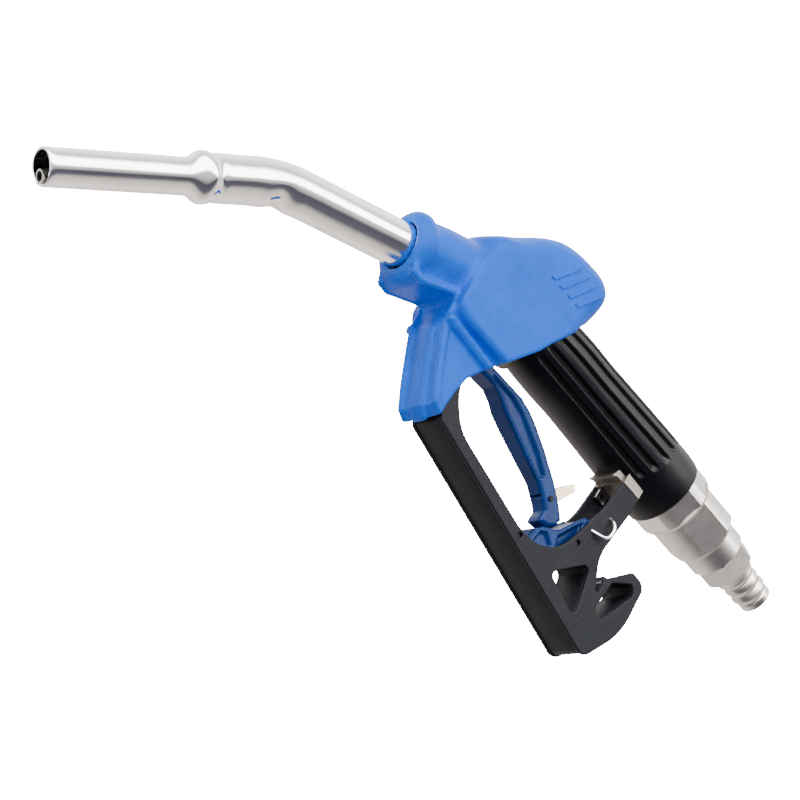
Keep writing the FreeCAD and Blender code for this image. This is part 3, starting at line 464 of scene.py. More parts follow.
@dataclass
class ScuffCover:
    """The flexible cover: wide upper body, narrow keel, collar with a lip, and raised borders."""

    wall: float = 2.4
    half_width: float = 24.2
    mark_depth: float = 2.2
    mark_inset: float = 0.8
    mark_edge: float = 0.45
    mark_starts: tuple[float, ...] = (-15.5, -8.5, -1.5, 5.5)
    keel_half: float = 15.5
    collar_radius: float = 19.6
    throat_radius: float = 12.8
    step: float = 1.0
    keel: list[Corner] = field(default_factory=lambda: [
        (-47.6, -30), (-47.6, -46), (-44.2, -54), (-33.6, -74.6), (-26.6, -87.4), (-21.6, -90.8),
        (-10, -90.4), (-4, -36)])
    gusset: list[Corner] = field(default_factory=lambda: [
        (-76.8, -35.6), (-79.4, -41.2), (-77.8, -43.8), (-72.2, -43.8), (-53.6, -33.6), (-40, -32),
        (-44, -10), (-60, -16), (-74, -32)])
    rear_cut: list[Corner] = field(default_factory=lambda: [
        (60, 34), (28, 25), (22, 21), (18.5, 14), (17, 8), (13, 0), (8, -10), (4, -20), (0, -27),
        (-4, -34), (-8, -41), (-12, -48), (-16, -56), (-19, -62), (-20.6, -75), (-20.4, -110),
        (60, -110)])
    border: list[Corner] = field(default_factory=lambda: [
        (-83, -31), (-78.0, -42.0), (-72.8, -42.4), (-54.0, -31.8), (-50.6, -31.0), (-48.8, -36),
        (-47.8, -46), (-44.3, -54), (-33.7, -74.6), (-26.6, -86.4), (-21.8, -88.6)])

    def spout_frame(self, x: np.ndarray, y: np.ndarray,
                    z: np.ndarray) -> tuple[np.ndarray, np.ndarray]:
        """Distance out along the spout's axis, and distance from it."""
        angle = math.radians(SPOUT_ANGLE)
        dx, dz = x - SPOUT_ROOT[0], z - SPOUT_ROOT[1]
        along = -dx * math.cos(angle) - dz * math.sin(angle)
        across = dx * math.sin(angle) - dz * math.cos(angle)
        return along, np.hypot(across, y)

    def body(self, x: np.ndarray, a: np.ndarray, z: np.ndarray) -> np.ndarray:
        """The wide upper body: straight faces blended into one another."""
        profile = half_plane(x, z, (-41.2, 25.0), 141.9)
        profile = smooth_max(profile, half_plane(x, z, (-9, 52.6), 107), 12.0)
        profile = smooth_max(profile, half_plane(x, z, (14, 54.3), 82), 14.0)
        profile = smooth_max(profile, half_plane(x, z, (27.2, 38), 3.0), 14.0)
        profile = smooth_max(profile, half_plane(x, z, (26.4, 28.5), -20), 8.0)
        profile = smooth_max(profile, half_plane(x, z, (-51.5, -26), 183), 7.0)
        profile = smooth_max(profile, half_plane(x, z, (-48, -39), 228), 4.0)
        profile = smooth_max(profile, half_plane(x, z, (-30, -42.2), 270), 4.0)
        crown = ((x + 4) ** 2 + (z - 8) ** 2) / 3600
        side = a - (self.half_width - crown)
        edge = 3.4 + 12.0 * smooth_step(z, -6, 26)
        return smooth_max(profile, side, edge)

    def outside(self, x: np.ndarray, y: np.ndarray, z: np.ndarray) -> np.ndarray:
        """Distance outside the cover as if it were solid."""
        a = np.sqrt(y * y + 0.04)
        along, radial = self.spout_frame(x, y, z)
        swell = self.collar_radius - 0.8 * smooth_step(along, -6, 8) \
            + 2.2 * smooth_step(along, 8, 13) - 2.6 * smooth_step(along, 15, 21)
        collar = smooth_max(smooth_max(radial - swell, along - 20.2, 3.5), -along - 42, 6.0)
        neck = 6.0 + 14.0 * smooth_step(z, 0, 14)
        shape = smooth_min(self.body(x, a, z), collar, neck)
        keel_edge = outline_distance(x, z, self.keel)
        keel = smooth_max(keel_edge, a - self.keel_half, 4.0)
        panel = smooth_max(smooth_max(keel_edge - 2.0, a - 5.6, 2.0), z + 47, 3.0)
        shape = smooth_min(shape, smooth_min(keel, panel, 1.5), 3.0)
        gusset = smooth_max(outline_distance(x, z, self.gusset), a - 14.0, 4.0)
        shape = smooth_min(shape, gusset, 2.5)
        border = np.hypot(line_distance(x, z, self.border) - 0.2, a - 14.4) - 1.9
        shape = smooth_min(shape, border, 1.0)
        sill = np.hypot(line_distance(x, z, [(-47, -46.2), (-10, -48.8)]), a - 16.8) - 2.9
        return smooth_max(smooth_min(shape, sill, 1.2), a - self.half_width, 1.5)

    def distance(self, x: np.ndarray, y: np.ndarray, z: np.ndarray) -> np.ndarray:
        """Distance to the finished shell, open at the throat and along its rear rim."""
        solid = self.outside(x, y, z)
        shell = smooth_max(solid, -(solid + self.wall), 0.9)
        shell = smooth_max(shell, -outline_distance(x, z, self.rear_cut), 1.4)
        along, radial = self.spout_frame(x, y, z)
        throat = self.throat_radius + 1.0 * smooth_step(along, 17.5, 21)
        return smooth_max(shell, -smooth_max(radial - throat, -along - 30, 2.0), 1.6)

    def build(self, vinyl: bpy.types.Material) -> None:
        """Meshes the shell and raises the plain marks on both sides."""
        shell = Carving((-107, -27, -93), (33, 27, 59), self.step, self.distance)
        dress(shell.mesh("cover_shell"), vinyl, HOUSING, "blue_cover", "scuff_cover")
        self.build_mark(vinyl)

    def build_mark(self, vinyl: bpy.types.Material) -> None:
        """Raises four plain slanted bars on each side of the cover."""
        for side, name in ((-1, "near_side_mark"), (1, "far_side_mark")):
            outlines = [[(x0, 18.5), (x0 + 3.4, 18.5), (x0 + 13.4, 38.5), (x0 + 10.0, 38.5)]
                        for x0 in self.mark_starts]
            centre = side * (self.half_width - self.mark_inset)
            bars = Plate(outlines, self.mark_depth, centre, self.mark_edge)
            dress(bars.build(name), vinyl, HOUSING, "blue_cover")


# ---------------------------------------------------------------- plates

def rounded(corners: list[Corner], steps: int = 8) -> list[Corner]:
    """Replaces each (x, z, radius) corner with points on its arc.

    Args:
        corners: Corners in order, with a radius where one is round.
        steps: Points on each arc, less one.

    Returns:
        The outline's points.
    """
    points = []
    for i, corner in enumerate(corners):
        here = Vector(corner[:2])
        if len(corner) < 3:
            points.append(tuple(here))
            continue
        back = (Vector(corners[i - 1][:2]) - here).normalized()
        ahead = (Vector(corners[(i + 1) % len(corners)][:2]) - here).normalized()
        half = back.angle(ahead) / 2
        start, end = (here + way * (corner[2] / math.tan(half)) for way in (back, ahead))
        centre = here + (back + ahead).normalized() * (corner[2] / math.sin(half))
        first, last = start - centre, end - centre
        sweep = first.angle_signed(last)
        for k in range(steps + 1):
            turn = -sweep * k / steps
            cos, sin = math.cos(turn), math.sin(turn)
            points.append((centre.x + first.x * cos - first.y * sin,
                           centre.y + first.x * sin + first.y * cos))
    return points


@dataclass
class Plate:
    """A flat piece with holes and rounded edges, standing in the handle's middle plane."""

    outlines: list[list[Corner]]
    thickness: float
    centre_y: float
    edge: float = 0.5

    def build(self, name: str) -> bpy.types.Object:
        """Fills the outlines, gives them their thickness and rounds the edges."""
        curve = bpy.data.curves.new(name, "CURVE")
        curve.dimensions = "2D"
        curve.fill_mode = "BOTH"
        curve.extrude = self.thickness / 2 - self.edge
        curve.bevel_depth = self.edge
        curve.bevel_resolution = 2
        curve.offset = -self.edge
        for outline in self.outlines:
            spline = curve.splines.new("POLY")
            spline.points.add(len(outline) - 1)
            for point, (x, z) in zip(spline.points, outline):
                point.co = (x, z, 0.0, 1.0)
            spline.use_cyclic_u = True
        source = bpy.data.objects.new(name, curve)
        bpy.context.scene.collection.objects.link(source)
        plate = frozen(source, name)
        stand = Matrix.Rotation(math.radians(90), 4, "X")
        place = Matrix.Translation((HANDLE_SHIFT * MM, self.centre_y * MM, 0.0))
        plate.data.transform(place @ Matrix.Scale(MM, 4) @ stand)
        plate.data.shade_smooth()
        plate.data.set_sharp_from_angle(angle=math.radians(32))
        return plate


@dataclass
class LeverGuard:
    """The guard: two side plates, the web between them, and their small fixings."""

    width: float = 25.2
    wall: float = 2.6
    outline: list[Corner] = field(default_factory=lambda: [
        (-43, -26, 3), (-43, -49, 8), (-17.3, -90.2, 3), (131.4, -125, 7), (145.8, -96.4, 50),
        (144.4, -63, 6), (133, -62.8, 3), (119, -80, 3), (120.4, -95.5, 1.5), (108.5, -72.5, 24),
        (112.2, -38), (112.2, -27), (98, -27), (96.5, -48, 60), (81.5, -99.5, 27),
        (55, -98.5, 25), (-4, -85.5, 24), (-22, -66, 30), (-16, -26, 3)])
    web: list[Corner] = field(default_factory=lambda: [
        (-36.4, -58), (-33.6, -57.8), (-14.8, -86.8, 2), (129.4, -120.4, 5), (142.0, -96, 46),
        (141.4, -66), (143.6, -66), (144.9, -96.4, 50), (130.9, -124.3, 7), (-17, -89.7, 3)])
    hook_wall: list[Corner] = field(default_factory=lambda: [
        (109.0, -50), (105.4, -70), (119.0, -97), (121, -101), (131, -104), (143.2, -73),
        (141.2, -66.4), (133.4, -65.2), (121.2, -80.6), (122.6, -98.4), (108.6, -72.8),
        (110.8, -50)])
    window_wall: list[Corner] = field(default_factory=lambda: [
        (82.8, -104.4, 1), (83.2, -101.8, 1), (104.6, -76.8, 2), (108.8, -76.8, 2),
        (117.4, -112.6, 2), (115.2, -115, 1)])
    window: list[Corner] = field(default_factory=lambda: [
        (86.5, -103.5, 3), (106.5, -80, 3.2), (114.5, -112, 3.4)])
    hook_slot: list[Corner] = field(default_factory=lambda: [
        (124.5, -78, 2.5), (136.5, -68.5, 3), (140.5, -73, 3), (129.5, -101, 4),
        (122.5, -98, 4)])

    def build(self, nylon: bpy.types.Material) -> None:
        """Makes the two plates, the web, and the walls round the window and the hook."""
        centre = self.width / 2 - self.wall / 2
        cuts = [rounded(self.window), rounded(self.hook_slot)]
        cuts += [circle_points(x, z, 1.5) for x, z in ((59, -102), (92.5, -77.5))]
        for side, name in ((-1, "guard_near_plate"), (1, "guard_far_plate")):
            plate = Plate([rounded(self.outline)] + cuts, self.wall, side * centre, 0.7)
            replaced = ("lever_guard",) if side < 0 else ()
            dress(plate.build(name), nylon, HOUSING, "black_guard", *replaced)
        between = self.width - 2 * self.wall
        for name, outlines, width in (
                ("guard_web", [rounded(self.web)], between - 0.7),
                ("guard_window_wall", [rounded(self.window_wall), cuts[0]], between + 0.8),
                ("guard_hook_wall", [rounded(self.hook_wall), cuts[1]], between + 0.8)):
            dress(Plate(outlines, width, 0.0, 0.3).build(name), nylon, HOUSING, "black_guard")


def circle_points(x: float, z: float, radius: float, count: int = 20) -> list[Corner]:
    """Points round a circle."""
    angles = [math.tau * k / count for k in range(count)]
    return [(x + radius * math.cos(angle), z + radius * math.sin(angle)) for angle in angles]


# ---------------------------------------------------------------- lever and rack

@dataclass
class TriggerLever:
    """The trigger: a thick bar with a raised lower border and hollowed sides."""

    half_width: float = 7.0
    step: float = 0.7
    outline: list[Corner] = field(default_factory=lambda: [
        (-42.2, -46), (-42.2, -39.8), (-38, -38.6), (6, -37.2), (19, -36.8), (28, -38.8),
        (36, -41.9), (49, -48.0), (64, -56.8), (75.2, -65.4), (80.4, -70.8), (79.2, -77.0),
        (75.0, -80.8), (68.4, -82.0), (67.9, -79.4), (68.2, -74.6), (65.2, -71.8), (56.0, -65.6),
        (40, -60.2),
        (24, -54.8), (15, -51.6), (9, -47.6), (2, -45.2), (-30, -47.4)])
    hollow: list[Corner] = field(default_factory=lambda: [
        (-2, -42.5), (14, -42.2), (24, -44.6), (34, -49), (46, -54.4), (56, -60.4), (54, -62.6),
        (46, -59.6), (32, -55), (18, -49.8), (10, -45.4)])

    def distance(self, x: np.ndarray, y: np.ndarray, z: np.ndarray) -> np.ndarray:
        """Distance to the lever: rounded bar less its side hollows and nose slot."""
        a = np.abs(y)
        narrow = 1.1 * smooth_step(x, 24, 62)
        bar = smooth_max(outline_distance(x, z, self.outline), a - self.half_width + narrow, 2.6)
        hollow = smooth_max(outline_distance(x, z, self.hollow) - 0.6, 5.1 - narrow - a, 1.6)
        bar = smooth_max(bar, -hollow, 1.4)
        slot = smooth_max(x + 28.5, a - 2.4, 0.8)
        bar = smooth_max(bar, -slot, 0.8)
        cradle = outline_distance(x, z, [(58, -52), (61.5, -69), (72.5, -72), (84, -58)])
        bar = smooth_max(bar, -smooth_max(cradle, a - 4.3, 0.8), 0.8)
        bore = np.hypot(x + 38, z + 43) - 2.05
        return np.maximum(bar, -bore)

    def build(self, moulded: bpy.types.Material) -> None:
        """Meshes the lever."""
        bar = Carving((-44, -8, -84), (81, 8, -35), self.step, self.distance)
        dress(bar.mesh("trigger_bar"), moulded, TRIGGER, "blue_lever", "lever")


@dataclass
class HoldOpenRack:
    """The blue rack between the guard's plates: ribbed foot and curled arm."""

    half_width: float = 9.6
    step: float = 0.75
    outline: list[Corner] = field(default_factory=lambda: [
        (59, -100.2), (66.4, -97.6), (68.4, -87.4), (70.2, -84.6), (73, -83), (77, -81.0),
        (80.6, -77.4), (83.0, -72.8), (86.4, -66.4), (90.2, -60.4), (93.6, -58.6), (95.4, -60.4),
        (96.2, -68), (95.2, -79), (91.4, -88), (85, -97), (78, -101.8), (68, -103.8),
        (56, -103.6)])

    def distance(self, x: np.ndarray, y: np.ndarray, z: np.ndarray) -> np.ndarray:
        """Distance to the rack: a rounded plate with a scooped inner face."""
        a = np.abs(y)
        edge = outline_distance(x, z, self.outline)
        block = smooth_max(edge, a - self.half_width, 1.8)
        scoop = smooth_max(line_distance(x, z, [(66, -85), (72, -82.6), (79.4, -76.6),
                                                (86, -65), (91.6, -57)]) - 2.2, a - 7.2, 1.4)
        block = smooth_max(block, -scoop, 1.6)
        pocket = smooth_max(outline_distance(x, z, [(69.5, -95), (70.4, -88.6), (74, -86.2),
                                                    (80, -90), (76, -97)]), 7.6 - a, 1.2)
        block = smooth_max(block, -pocket, 1.4)
        rear = outline_distance(x, z, [(84.6, -90), (90, -80), (92, -69), (90.4, -64.6),
                                       (86.4, -72), (81.6, -82)])
        return smooth_max(block, -smooth_max(rear, 7.6 - a, 1.2), 1.4)

    def build(self, moulded: bpy.types.Material) -> None:
        """Meshes the rack and sets the fine ribs on its foot."""
        block = Carving((54, -11, -106), (98, 11, -56), self.step, self.distance)
        dress(block.mesh("rack_block"), moulded, HOUSING, "blue_lever", "hold_open_rack")
        ribs = self.rib_row()
        dress(ribs, moulded, HOUSING, "blue_lever")

    def rib_row(self) -> bpy.types.Object:
        """Geometry Nodes row of ribs down the foot's front face."""
        tree = bpy.data.node_groups.new("foot_ribs", "GeometryNodeTree")
        face = tree.interface
        face.new_socket("Start", in_out="INPUT", socket_type="NodeSocketVector")
        face.new_socket("End", in_out="INPUT", socket_type="NodeSocketVector")
        face.new_socket("Ribs", in_out="INPUT", socket_type="NodeSocketInt")
        face.new_socket("Rib Size", in_out="INPUT", socket_type="NodeSocketVector")
        face.new_socket("Geometry", in_out="OUTPUT", socket_type="NodeSocketGeometry")
        given = add_node(tree, "NodeGroupInput").outputs
        row = add_node(tree, "GeometryNodeMeshLine",
                       {"Count": given["Ribs"], "Start Location": given["Start"],
                        "Offset": given["End"]}, mode="END_POINTS")
        rib = add_node(tree, "GeometryNodeMeshCube",
                       {"Size": given["Rib Size"], "Vertices X": 2, "Vertices Y": 2,
                        "Vertices Z": 2})
        softened = add_node(tree, "GeometryNodeSubdivisionSurface",
                            {"Mesh": rib.outputs[0], "Level": 2, "Edge Crease": 0.6})
        copies = add_node(tree, "GeometryNodeInstanceOnPoints",
                          {"Points": row.outputs[0], "Instance": softened.outputs[0]})
        real = add_node(tree, "GeometryNodeRealizeInstances", {"Geometry": copies.outputs[0]})
        coat = add_node(tree, "GeometryNodeSetMaterial", {"Geometry": real.outputs[0]})
        add_node(tree, "NodeGroupOutput", {"Geometry": coat.outputs[0]})
        corner = ((66.9 + HANDLE_SHIFT) * MM, 0.0, -96.0 * MM)
        top = ((68.4 + HANDLE_SHIFT) * MM, 0.0, -88.4 * MM)
        return grown("rack_ribs", tree, {"Start": corner, "End": top, "Ribs": 6,
                                         "Rib Size": (1.5 * MM, 15.0 * MM, 1.0 * MM)})


def grown(name: str, tree: bpy.types.NodeTree, values: dict,
          base: bpy.types.Object | None = None) -> bpy.types.Object:
    """Evaluates a Geometry Nodes tree with its named inputs and keeps the plain mesh.

    Args:
        name: The piece's name.
        tree: The tree to evaluate.
        values: Input names mapped to their values.
        base: The object that carries the modifier, or None for an empty mesh.

    Returns:
        The plain mesh object.
    """
    if base is None:
        base = bpy.data.objects.new(name, bpy.data.meshes.new(name))
        bpy.context.scene.collection.objects.link(base)
    modifier = base.modifiers.new(tree.name, "NODES")
    modifier.node_group = tree
    for item in tree.interface.items_tree:
        if item.name in values and item.in_out == "INPUT":
            modifier[item.identifier] = values[item.name]
    base.update_tag()
    made = frozen(base, name)
    made.data.shade_smooth()
    return made


# ---------------------------------------------------------------- grip

@dataclass
class HandGrip:
    """The moulded hand grip, fluted round its top and sides."""

    rows: int = 150
    columns: int = 400
    bore: float = 17.7
    stations: list[Corner] = field(default_factory=lambda: [
        (-4, 0.0, 20.2), (8, -0.4, 21.8), (17, -0.8, 22.8), (32, -1.2, 23.3), (50, -1.2, 22.9),
        (80, -0.9, 23.7), (104, -0.4, 24.4), (122, 0.0, 24.6), (130, 0.0, 24.4),
        (131, 0.0, 23.6)])

    def base(self) -> bpy.types.Object:
        """A smooth lofted tube: outer wall, rounded rear edge and bore."""
        at, drop, radius = (np.array(column, dtype=float) for column in zip(*self.stations))
        x = np.linspace(at[0], at[-1], self.rows)
        rings = [(x_i, self.eased(x_i, at, drop), self.eased(x_i, at, radius)) for x_i in x]
        rings += [(131.0, 0.0, 21.0), (131.0, 0.0, self.bore), (-4.0, 0.0, self.bore)]
        angle = np.linspace(0, math.tau, self.columns, endpoint=False)
        points = np.concatenate([
            np.stack([np.full_like(angle, x_i), -r * np.cos(angle), r * np.sin(angle) - d], axis=1)
            for x_i, d, r in rings])
        faces = ring_faces(len(rings), self.columns, closed=True)
        return mesh_object("grip_base", points, faces)

    @staticmethod
    def eased(x: float, at: np.ndarray, values: np.ndarray) -> float:
        """Smooths the straight runs between stations."""
        window = np.linspace(-5, 5, 11)
        return float(np.mean(np.interp(np.clip(x + window, at[0], at[-1]), at, values)))

    def build(self, rubber: bpy.types.Material) -> None:
        """Presses the flutes into the tube with Geometry Nodes."""
        grip = grown("fluted_grip", self.flute_tree(),
                     {"First Angle": math.radians(-45.6), "Pitch": math.radians(20.8),
                      "Flutes": 14.0, "Flute Share": 0.30, "Depth": 2.0 * MM,
                      "Front": (9.0 + HANDLE_SHIFT) * MM, "Rear": (112.0 + HANDLE_SHIFT) * MM,
                      "Centre Height": -1.0 * MM}, self.base())
        dress(grip, rubber, HOUSING, "black_grip", "grip_sleeve")

    def flute_tree(self) -> bpy.types.NodeTree:
        """Lowers the outer wall along evenly pitched lines between two ends."""
        tree = bpy.data.node_groups.new("grip_flutes", "GeometryNodeTree")
        face = tree.interface
        face.new_socket("Geometry", in_out="INPUT", socket_type="NodeSocketGeometry")
        for name in ("First Angle", "Pitch", "Flutes", "Flute Share", "Depth", "Front", "Rear",
                     "Centre Height"):
            face.new_socket(name, in_out="INPUT", socket_type="NodeSocketFloat")
        face.new_socket("Geometry", in_out="OUTPUT", socket_type="NodeSocketGeometry")
        given = add_node(tree, "NodeGroupInput").outputs
        place = add_node(tree, "ShaderNodeSeparateXYZ",
                         {0: add_node(tree, "GeometryNodeInputPosition").outputs[0]}).outputs

        def maths(operation: str, *values: object) -> bpy.types.NodeSocket:
            """One arithmetic step."""
            return add_node(tree, "ShaderNodeMath", dict(enumerate(values)),
                            operation=operation).outputs[0]

        def ramp(value: object, start: object, end: object) -> bpy.types.NodeSocket:
            """Smooth rise from 0 to 1 between two values."""
            return add_node(tree, "ShaderNodeMapRange",
                            {"Value": value, "From Min": start, "From Max": end},
                            interpolation_type="SMOOTHSTEP").outputs[0]

        height = maths("SUBTRACT", place[2], given["Centre Height"])
        angle = maths("ARCTAN2", height, maths("MULTIPLY", place[1], -1.0))
        behind = maths("LESS_THAN", angle, math.radians(-120))
        angle = maths("ADD", angle, maths("MULTIPLY", behind, math.tau))
        count = maths("DIVIDE", maths("SUBTRACT", angle, given["First Angle"]), given["Pitch"])
        off = maths("ABSOLUTE", maths("SUBTRACT", count, maths("ROUND", count)))
        cut = maths("SUBTRACT", 1.0, ramp(off, maths("MULTIPLY", given["Flute Share"], 0.25),
                                          given["Flute Share"]))
        inside = maths("MULTIPLY", maths("GREATER_THAN", count, -0.5),
                       maths("LESS_THAN", count, maths("SUBTRACT", given["Flutes"], 0.5)))
        from_top = maths("ABSOLUTE", maths("SUBTRACT", angle, math.radians(90)))
        reach = maths("MULTIPLY", from_top, -5.0 * MM)
        rear = maths("ADD", given["Rear"], maths("ADD", reach, 6.0 * MM))
        ends = maths("MULTIPLY",
                     ramp(place[0], maths("SUBTRACT", given["Front"], 3.0 * MM),
                          maths("ADD", given["Front"], 6.0 * MM)),
                     maths("SUBTRACT", 1.0, ramp(place[0], maths("SUBTRACT", rear, 5.0 * MM),
                                                 rear)))
        wall = add_node(tree, "ShaderNodeMath",
                        {0: add_node(tree, "ShaderNodeVectorMath",
                                     {0: add_node(tree, "ShaderNodeCombineXYZ",
                                                  {1: place[1], 2: height}).outputs[0]},
                                     operation="LENGTH").outputs["Value"], 1: 19.0 * MM},
                        operation="GREATER_THAN").outputs[0]
        depth = maths("MULTIPLY", maths("MULTIPLY", cut, inside), maths("MULTIPLY", ends, wall))
        depth = maths("MULTIPLY", depth, maths("MULTIPLY", given["Depth"], -1.0))
        normal = add_node(tree, "GeometryNodeInputNormal").outputs[0]
        push = add_node(tree, "ShaderNodeVectorMath", {0: normal, "Scale": depth},
                        operation="SCALE").outputs[0]
        moved = add_node(tree, "GeometryNodeSetPosition",
                         {"Geometry": given["Geometry"], "Offset": push})
        real = add_node(tree, "GeometryNodeRealizeInstances", {"Geometry": moved.outputs[0]})
        coat = add_node(tree, "GeometryNodeSetMaterial", {"Geometry": real.outputs[0]})
        add_node(tree, "NodeGroupOutput", {"Geometry": coat.outputs[0]})
        return tree


def ring_faces(rings: int, columns: int, closed: bool) -> np.ndarray:
    """Quads between neighbouring rings, and back to the first ring when closed.

    Args:
        rings: How many rings there are.
        columns: Points on each ring.
        closed: Whether the last ring joins the first.

    Returns:
        One row of four vertex numbers for each quad.
    """
    i, j = np.meshgrid(np.arange(rings if closed else rings - 1), np.arange(columns),
                       indexing="ij")
    k, m = (i + 1) % rings, (j + 1) % columns
    faces = np.stack([i * columns + j, k * columns + j, k * columns + m, i * columns + m], axis=-1)
    return faces.reshape(-1, 4)


# ---------------------------------------------------------------- spout

@dataclass
class Spout:
    """The bent spout: thick tube, creased bend, step and slim tip."""

    run: float = 100.0
    tip_run: float = 131.9
    bend: float = 21.42
    bend_radius: float = 78.0
    outer: float = 12.5
    slim: float = 9.5
    wall: float = 1.1
    columns: int = 96
    crease: float = 1.3

    def centre_line(self, distance: float) -> tuple[np.ndarray, float]:
        """Point in the spout's plane and the heading at a distance along the axis."""
        half = math.radians(self.bend) / 2
        straight = self.run - self.bend_radius * math.tan(half)
        arc = self.bend_radius * 2 * half
        if distance <= straight:
            return np.array([distance, 0.0]), 0.0
        if distance <= straight + arc:
            turn = (distance - straight) / self.bend_radius
            return np.array([straight + self.bend_radius * math.sin(turn),
                             self.bend_radius * (1 - math.cos(turn))]), turn
        turn = 2 * half
        end = np.array([straight + self.bend_radius * math.sin(turn),
                        self.bend_radius * (1 - math.cos(turn))])
        past = distance - straight - arc
        return end + past * np.array([math.cos(turn), math.sin(turn)]), turn

    def profile(self) -> list[Corner]:
        """Distance along the axis, outer radius, for every ring of the outer wall."""
        half = math.radians(self.bend) / 2
        total = self.run + self.tip_run - 2 * self.bend_radius * (math.tan(half) - half)
        step = total - 84.0
        stops = [(d, self.outer) for d in np.linspace(0.0, step - 12.0, 90)]
        stops += [(step + d, self.outer + rise) for d, rise in (
            (-10.0, -0.1), (-8.5, -0.3), (-7.0, -0.1), (-5.5, 0.45), (-4.0, 0.8), (-2.2, 0.9),
            (-0.8, 0.7), (0.4, 0.2), (1.4, -0.6), (2.6, -1.5), (3.8, -2.2), (5.0, -2.6),
            (6.4, -2.85), (8.0, -2.98))]
        stops += [(d, self.slim) for d in np.linspace(step + 10.0, total - 0.7, 30)]
        return stops + [(total - 0.25, self.slim - 0.15), (total, self.slim - 0.45)]

    def build(self, polished: bpy.types.Material) -> None:
        """Sweeps the outer wall out and the inner wall back, with a lengthwise UV map."""
        walls = self.profile()
        rings = walls + [(d, r - self.wall) for d, r in reversed(walls)]
        apex = self.run
        around = np.linspace(0, math.tau, self.columns, endpoint=False)
        tilt = math.radians(180.0 + SPOUT_ANGLE)
        points = []
        for distance, radius in rings:
            centre, turn = self.centre_line(distance)
            inner_side = np.clip(-np.cos(around - math.pi), 0, 1)
            pinch = np.exp(-((distance - apex) / 5.5) ** 2) - 0.35 * np.exp(
                -((abs(distance - apex) - 11.0) / 5.0) ** 2)
            local = radius - self.crease * pinch * inner_side ** 2.0
            flat = local * np.cos(around)
            px = centre[0] - flat * math.sin(turn)
            pz = centre[1] + flat * math.cos(turn)
            x = SPOUT_ROOT[0] + px * math.cos(tilt) - pz * math.sin(tilt)
            z = SPOUT_ROOT[1] + px * math.sin(tilt) + pz * math.cos(tilt)
            points.append(np.stack([x, local * np.sin(around), z], axis=1))
        tube = mesh_object("polished_spout", np.concatenate(points),
                           ring_faces(len(rings), self.columns, closed=True))
        self.face_outwards(tube.data)
        self.lay_uv(tube.data, [d for d, _ in rings])
        dress(tube, polished, HOUSING, "polished_steel", "spout_tube")

    @staticmethod
    def face_outwards(mesh: bpy.types.Mesh) -> None:
        """Flips the mesh when its volume is negative."""
        points = np.empty(len(mesh.vertices) * 3)
        mesh.vertices.foreach_get("co", points)
        points = points.reshape(-1, 3)
        corner = np.array([polygon.vertices[:] for polygon in mesh.polygons])
        a, b, c, d = (points[corner[:, k]] for k in range(4))
        volume = np.einsum("ij,ij->i", a, np.cross(b, c) + np.cross(c, d)).sum()
        if volume < 0:
            mesh.flip_normals()

    def lay_uv(self, mesh: bpy.types.Mesh, distances: list[float]) -> None:
        """U runs along the tube and V round it, both in metres."""
        layer = mesh.uv_layers.new(name="along_tube")
        girth = math.tau * self.outer * MM
        for loop, entry in zip(mesh.loops, layer.data):
            ring, column = divmod(loop.vertex_index, self.columns)
            entry.uv = (distances[ring] * MM, abs(column / self.columns - 0.5) * girth)


# ---------------------------------------------------------------- small pieces

@dataclass
class WireLoop:
    """The bright wire bail on the near side of the guard."""

    wire: float = 0.95
    stops: list[Corner] = field(default_factory=lambda: [
        (102.6, -12.2, -50.4), (103.4, -14.4, -51.6), (104.9, -16.4, -54.2),
        (105.6, -16.9, -57.5), (105.2, -16.9, -61.5), (103.6, -16.7, -64.6),
        (100.6, -15.6, -65.4), (97.4, -13.4, -65.2), (96.2, -12.2, -65.0)])

    def build(self, polished: bpy.types.Material) -> None:
        """Sweeps the wire along its smooth path with Geometry Nodes."""
        tree = bpy.data.node_groups.new("bent_wire", "GeometryNodeTree")
        face = tree.interface
        face.new_socket("Geometry", in_out="INPUT", socket_type="NodeSocketGeometry")
        face.new_socket("Wire Radius", in_out="INPUT", socket_type="NodeSocketFloat")
        face.new_socket("Spacing", in_out="INPUT", socket_type="NodeSocketFloat")
        face.new_socket("Geometry", in_out="OUTPUT", socket_type="NodeSocketGeometry")
        given = add_node(tree, "NodeGroupInput").outputs
        path = add_node(tree, "GeometryNodeResampleCurve",
                        {"Curve": given["Geometry"], "Length": given["Spacing"]}, mode="LENGTH")
        section = add_node(tree, "GeometryNodeCurvePrimitiveCircle",
                           {"Resolution": 20, "Radius": given["Wire Radius"]})
        swept = add_node(tree, "GeometryNodeCurveToMesh",
                         {"Curve": path.outputs[0], "Profile Curve": section.outputs[0],
                          "Fill Caps": True})
        real = add_node(tree, "GeometryNodeRealizeInstances", {"Geometry": swept.outputs[0]})
        coat = add_node(tree, "GeometryNodeSetMaterial", {"Geometry": real.outputs[0]})
        add_node(tree, "NodeGroupOutput", {"Geometry": coat.outputs[0]})
        curve = bpy.data.curves.new("wire_path", "CURVE")
        curve.dimensions = "3D"
        spline = curve.splines.new("NURBS")
        spline.points.add(len(self.stops) - 1)
        for point, (x, y, z) in zip(spline.points, self.stops):
            point.co = ((x + HANDLE_SHIFT) * MM, y * MM, z * MM, 1.0)
        spline.order_u = 3
        spline.use_endpoint_u = True
        base = bpy.data.objects.new("wire_path", curve)
        bpy.context.scene.collection.objects.link(base)
        loop = grown("bright_wire_loop", tree,
                     {"Wire Radius": self.wire * MM, "Spacing": 0.6 * MM}, base)
        dress(loop, polished, HOUSING, "polished_steel", "wire_loop")


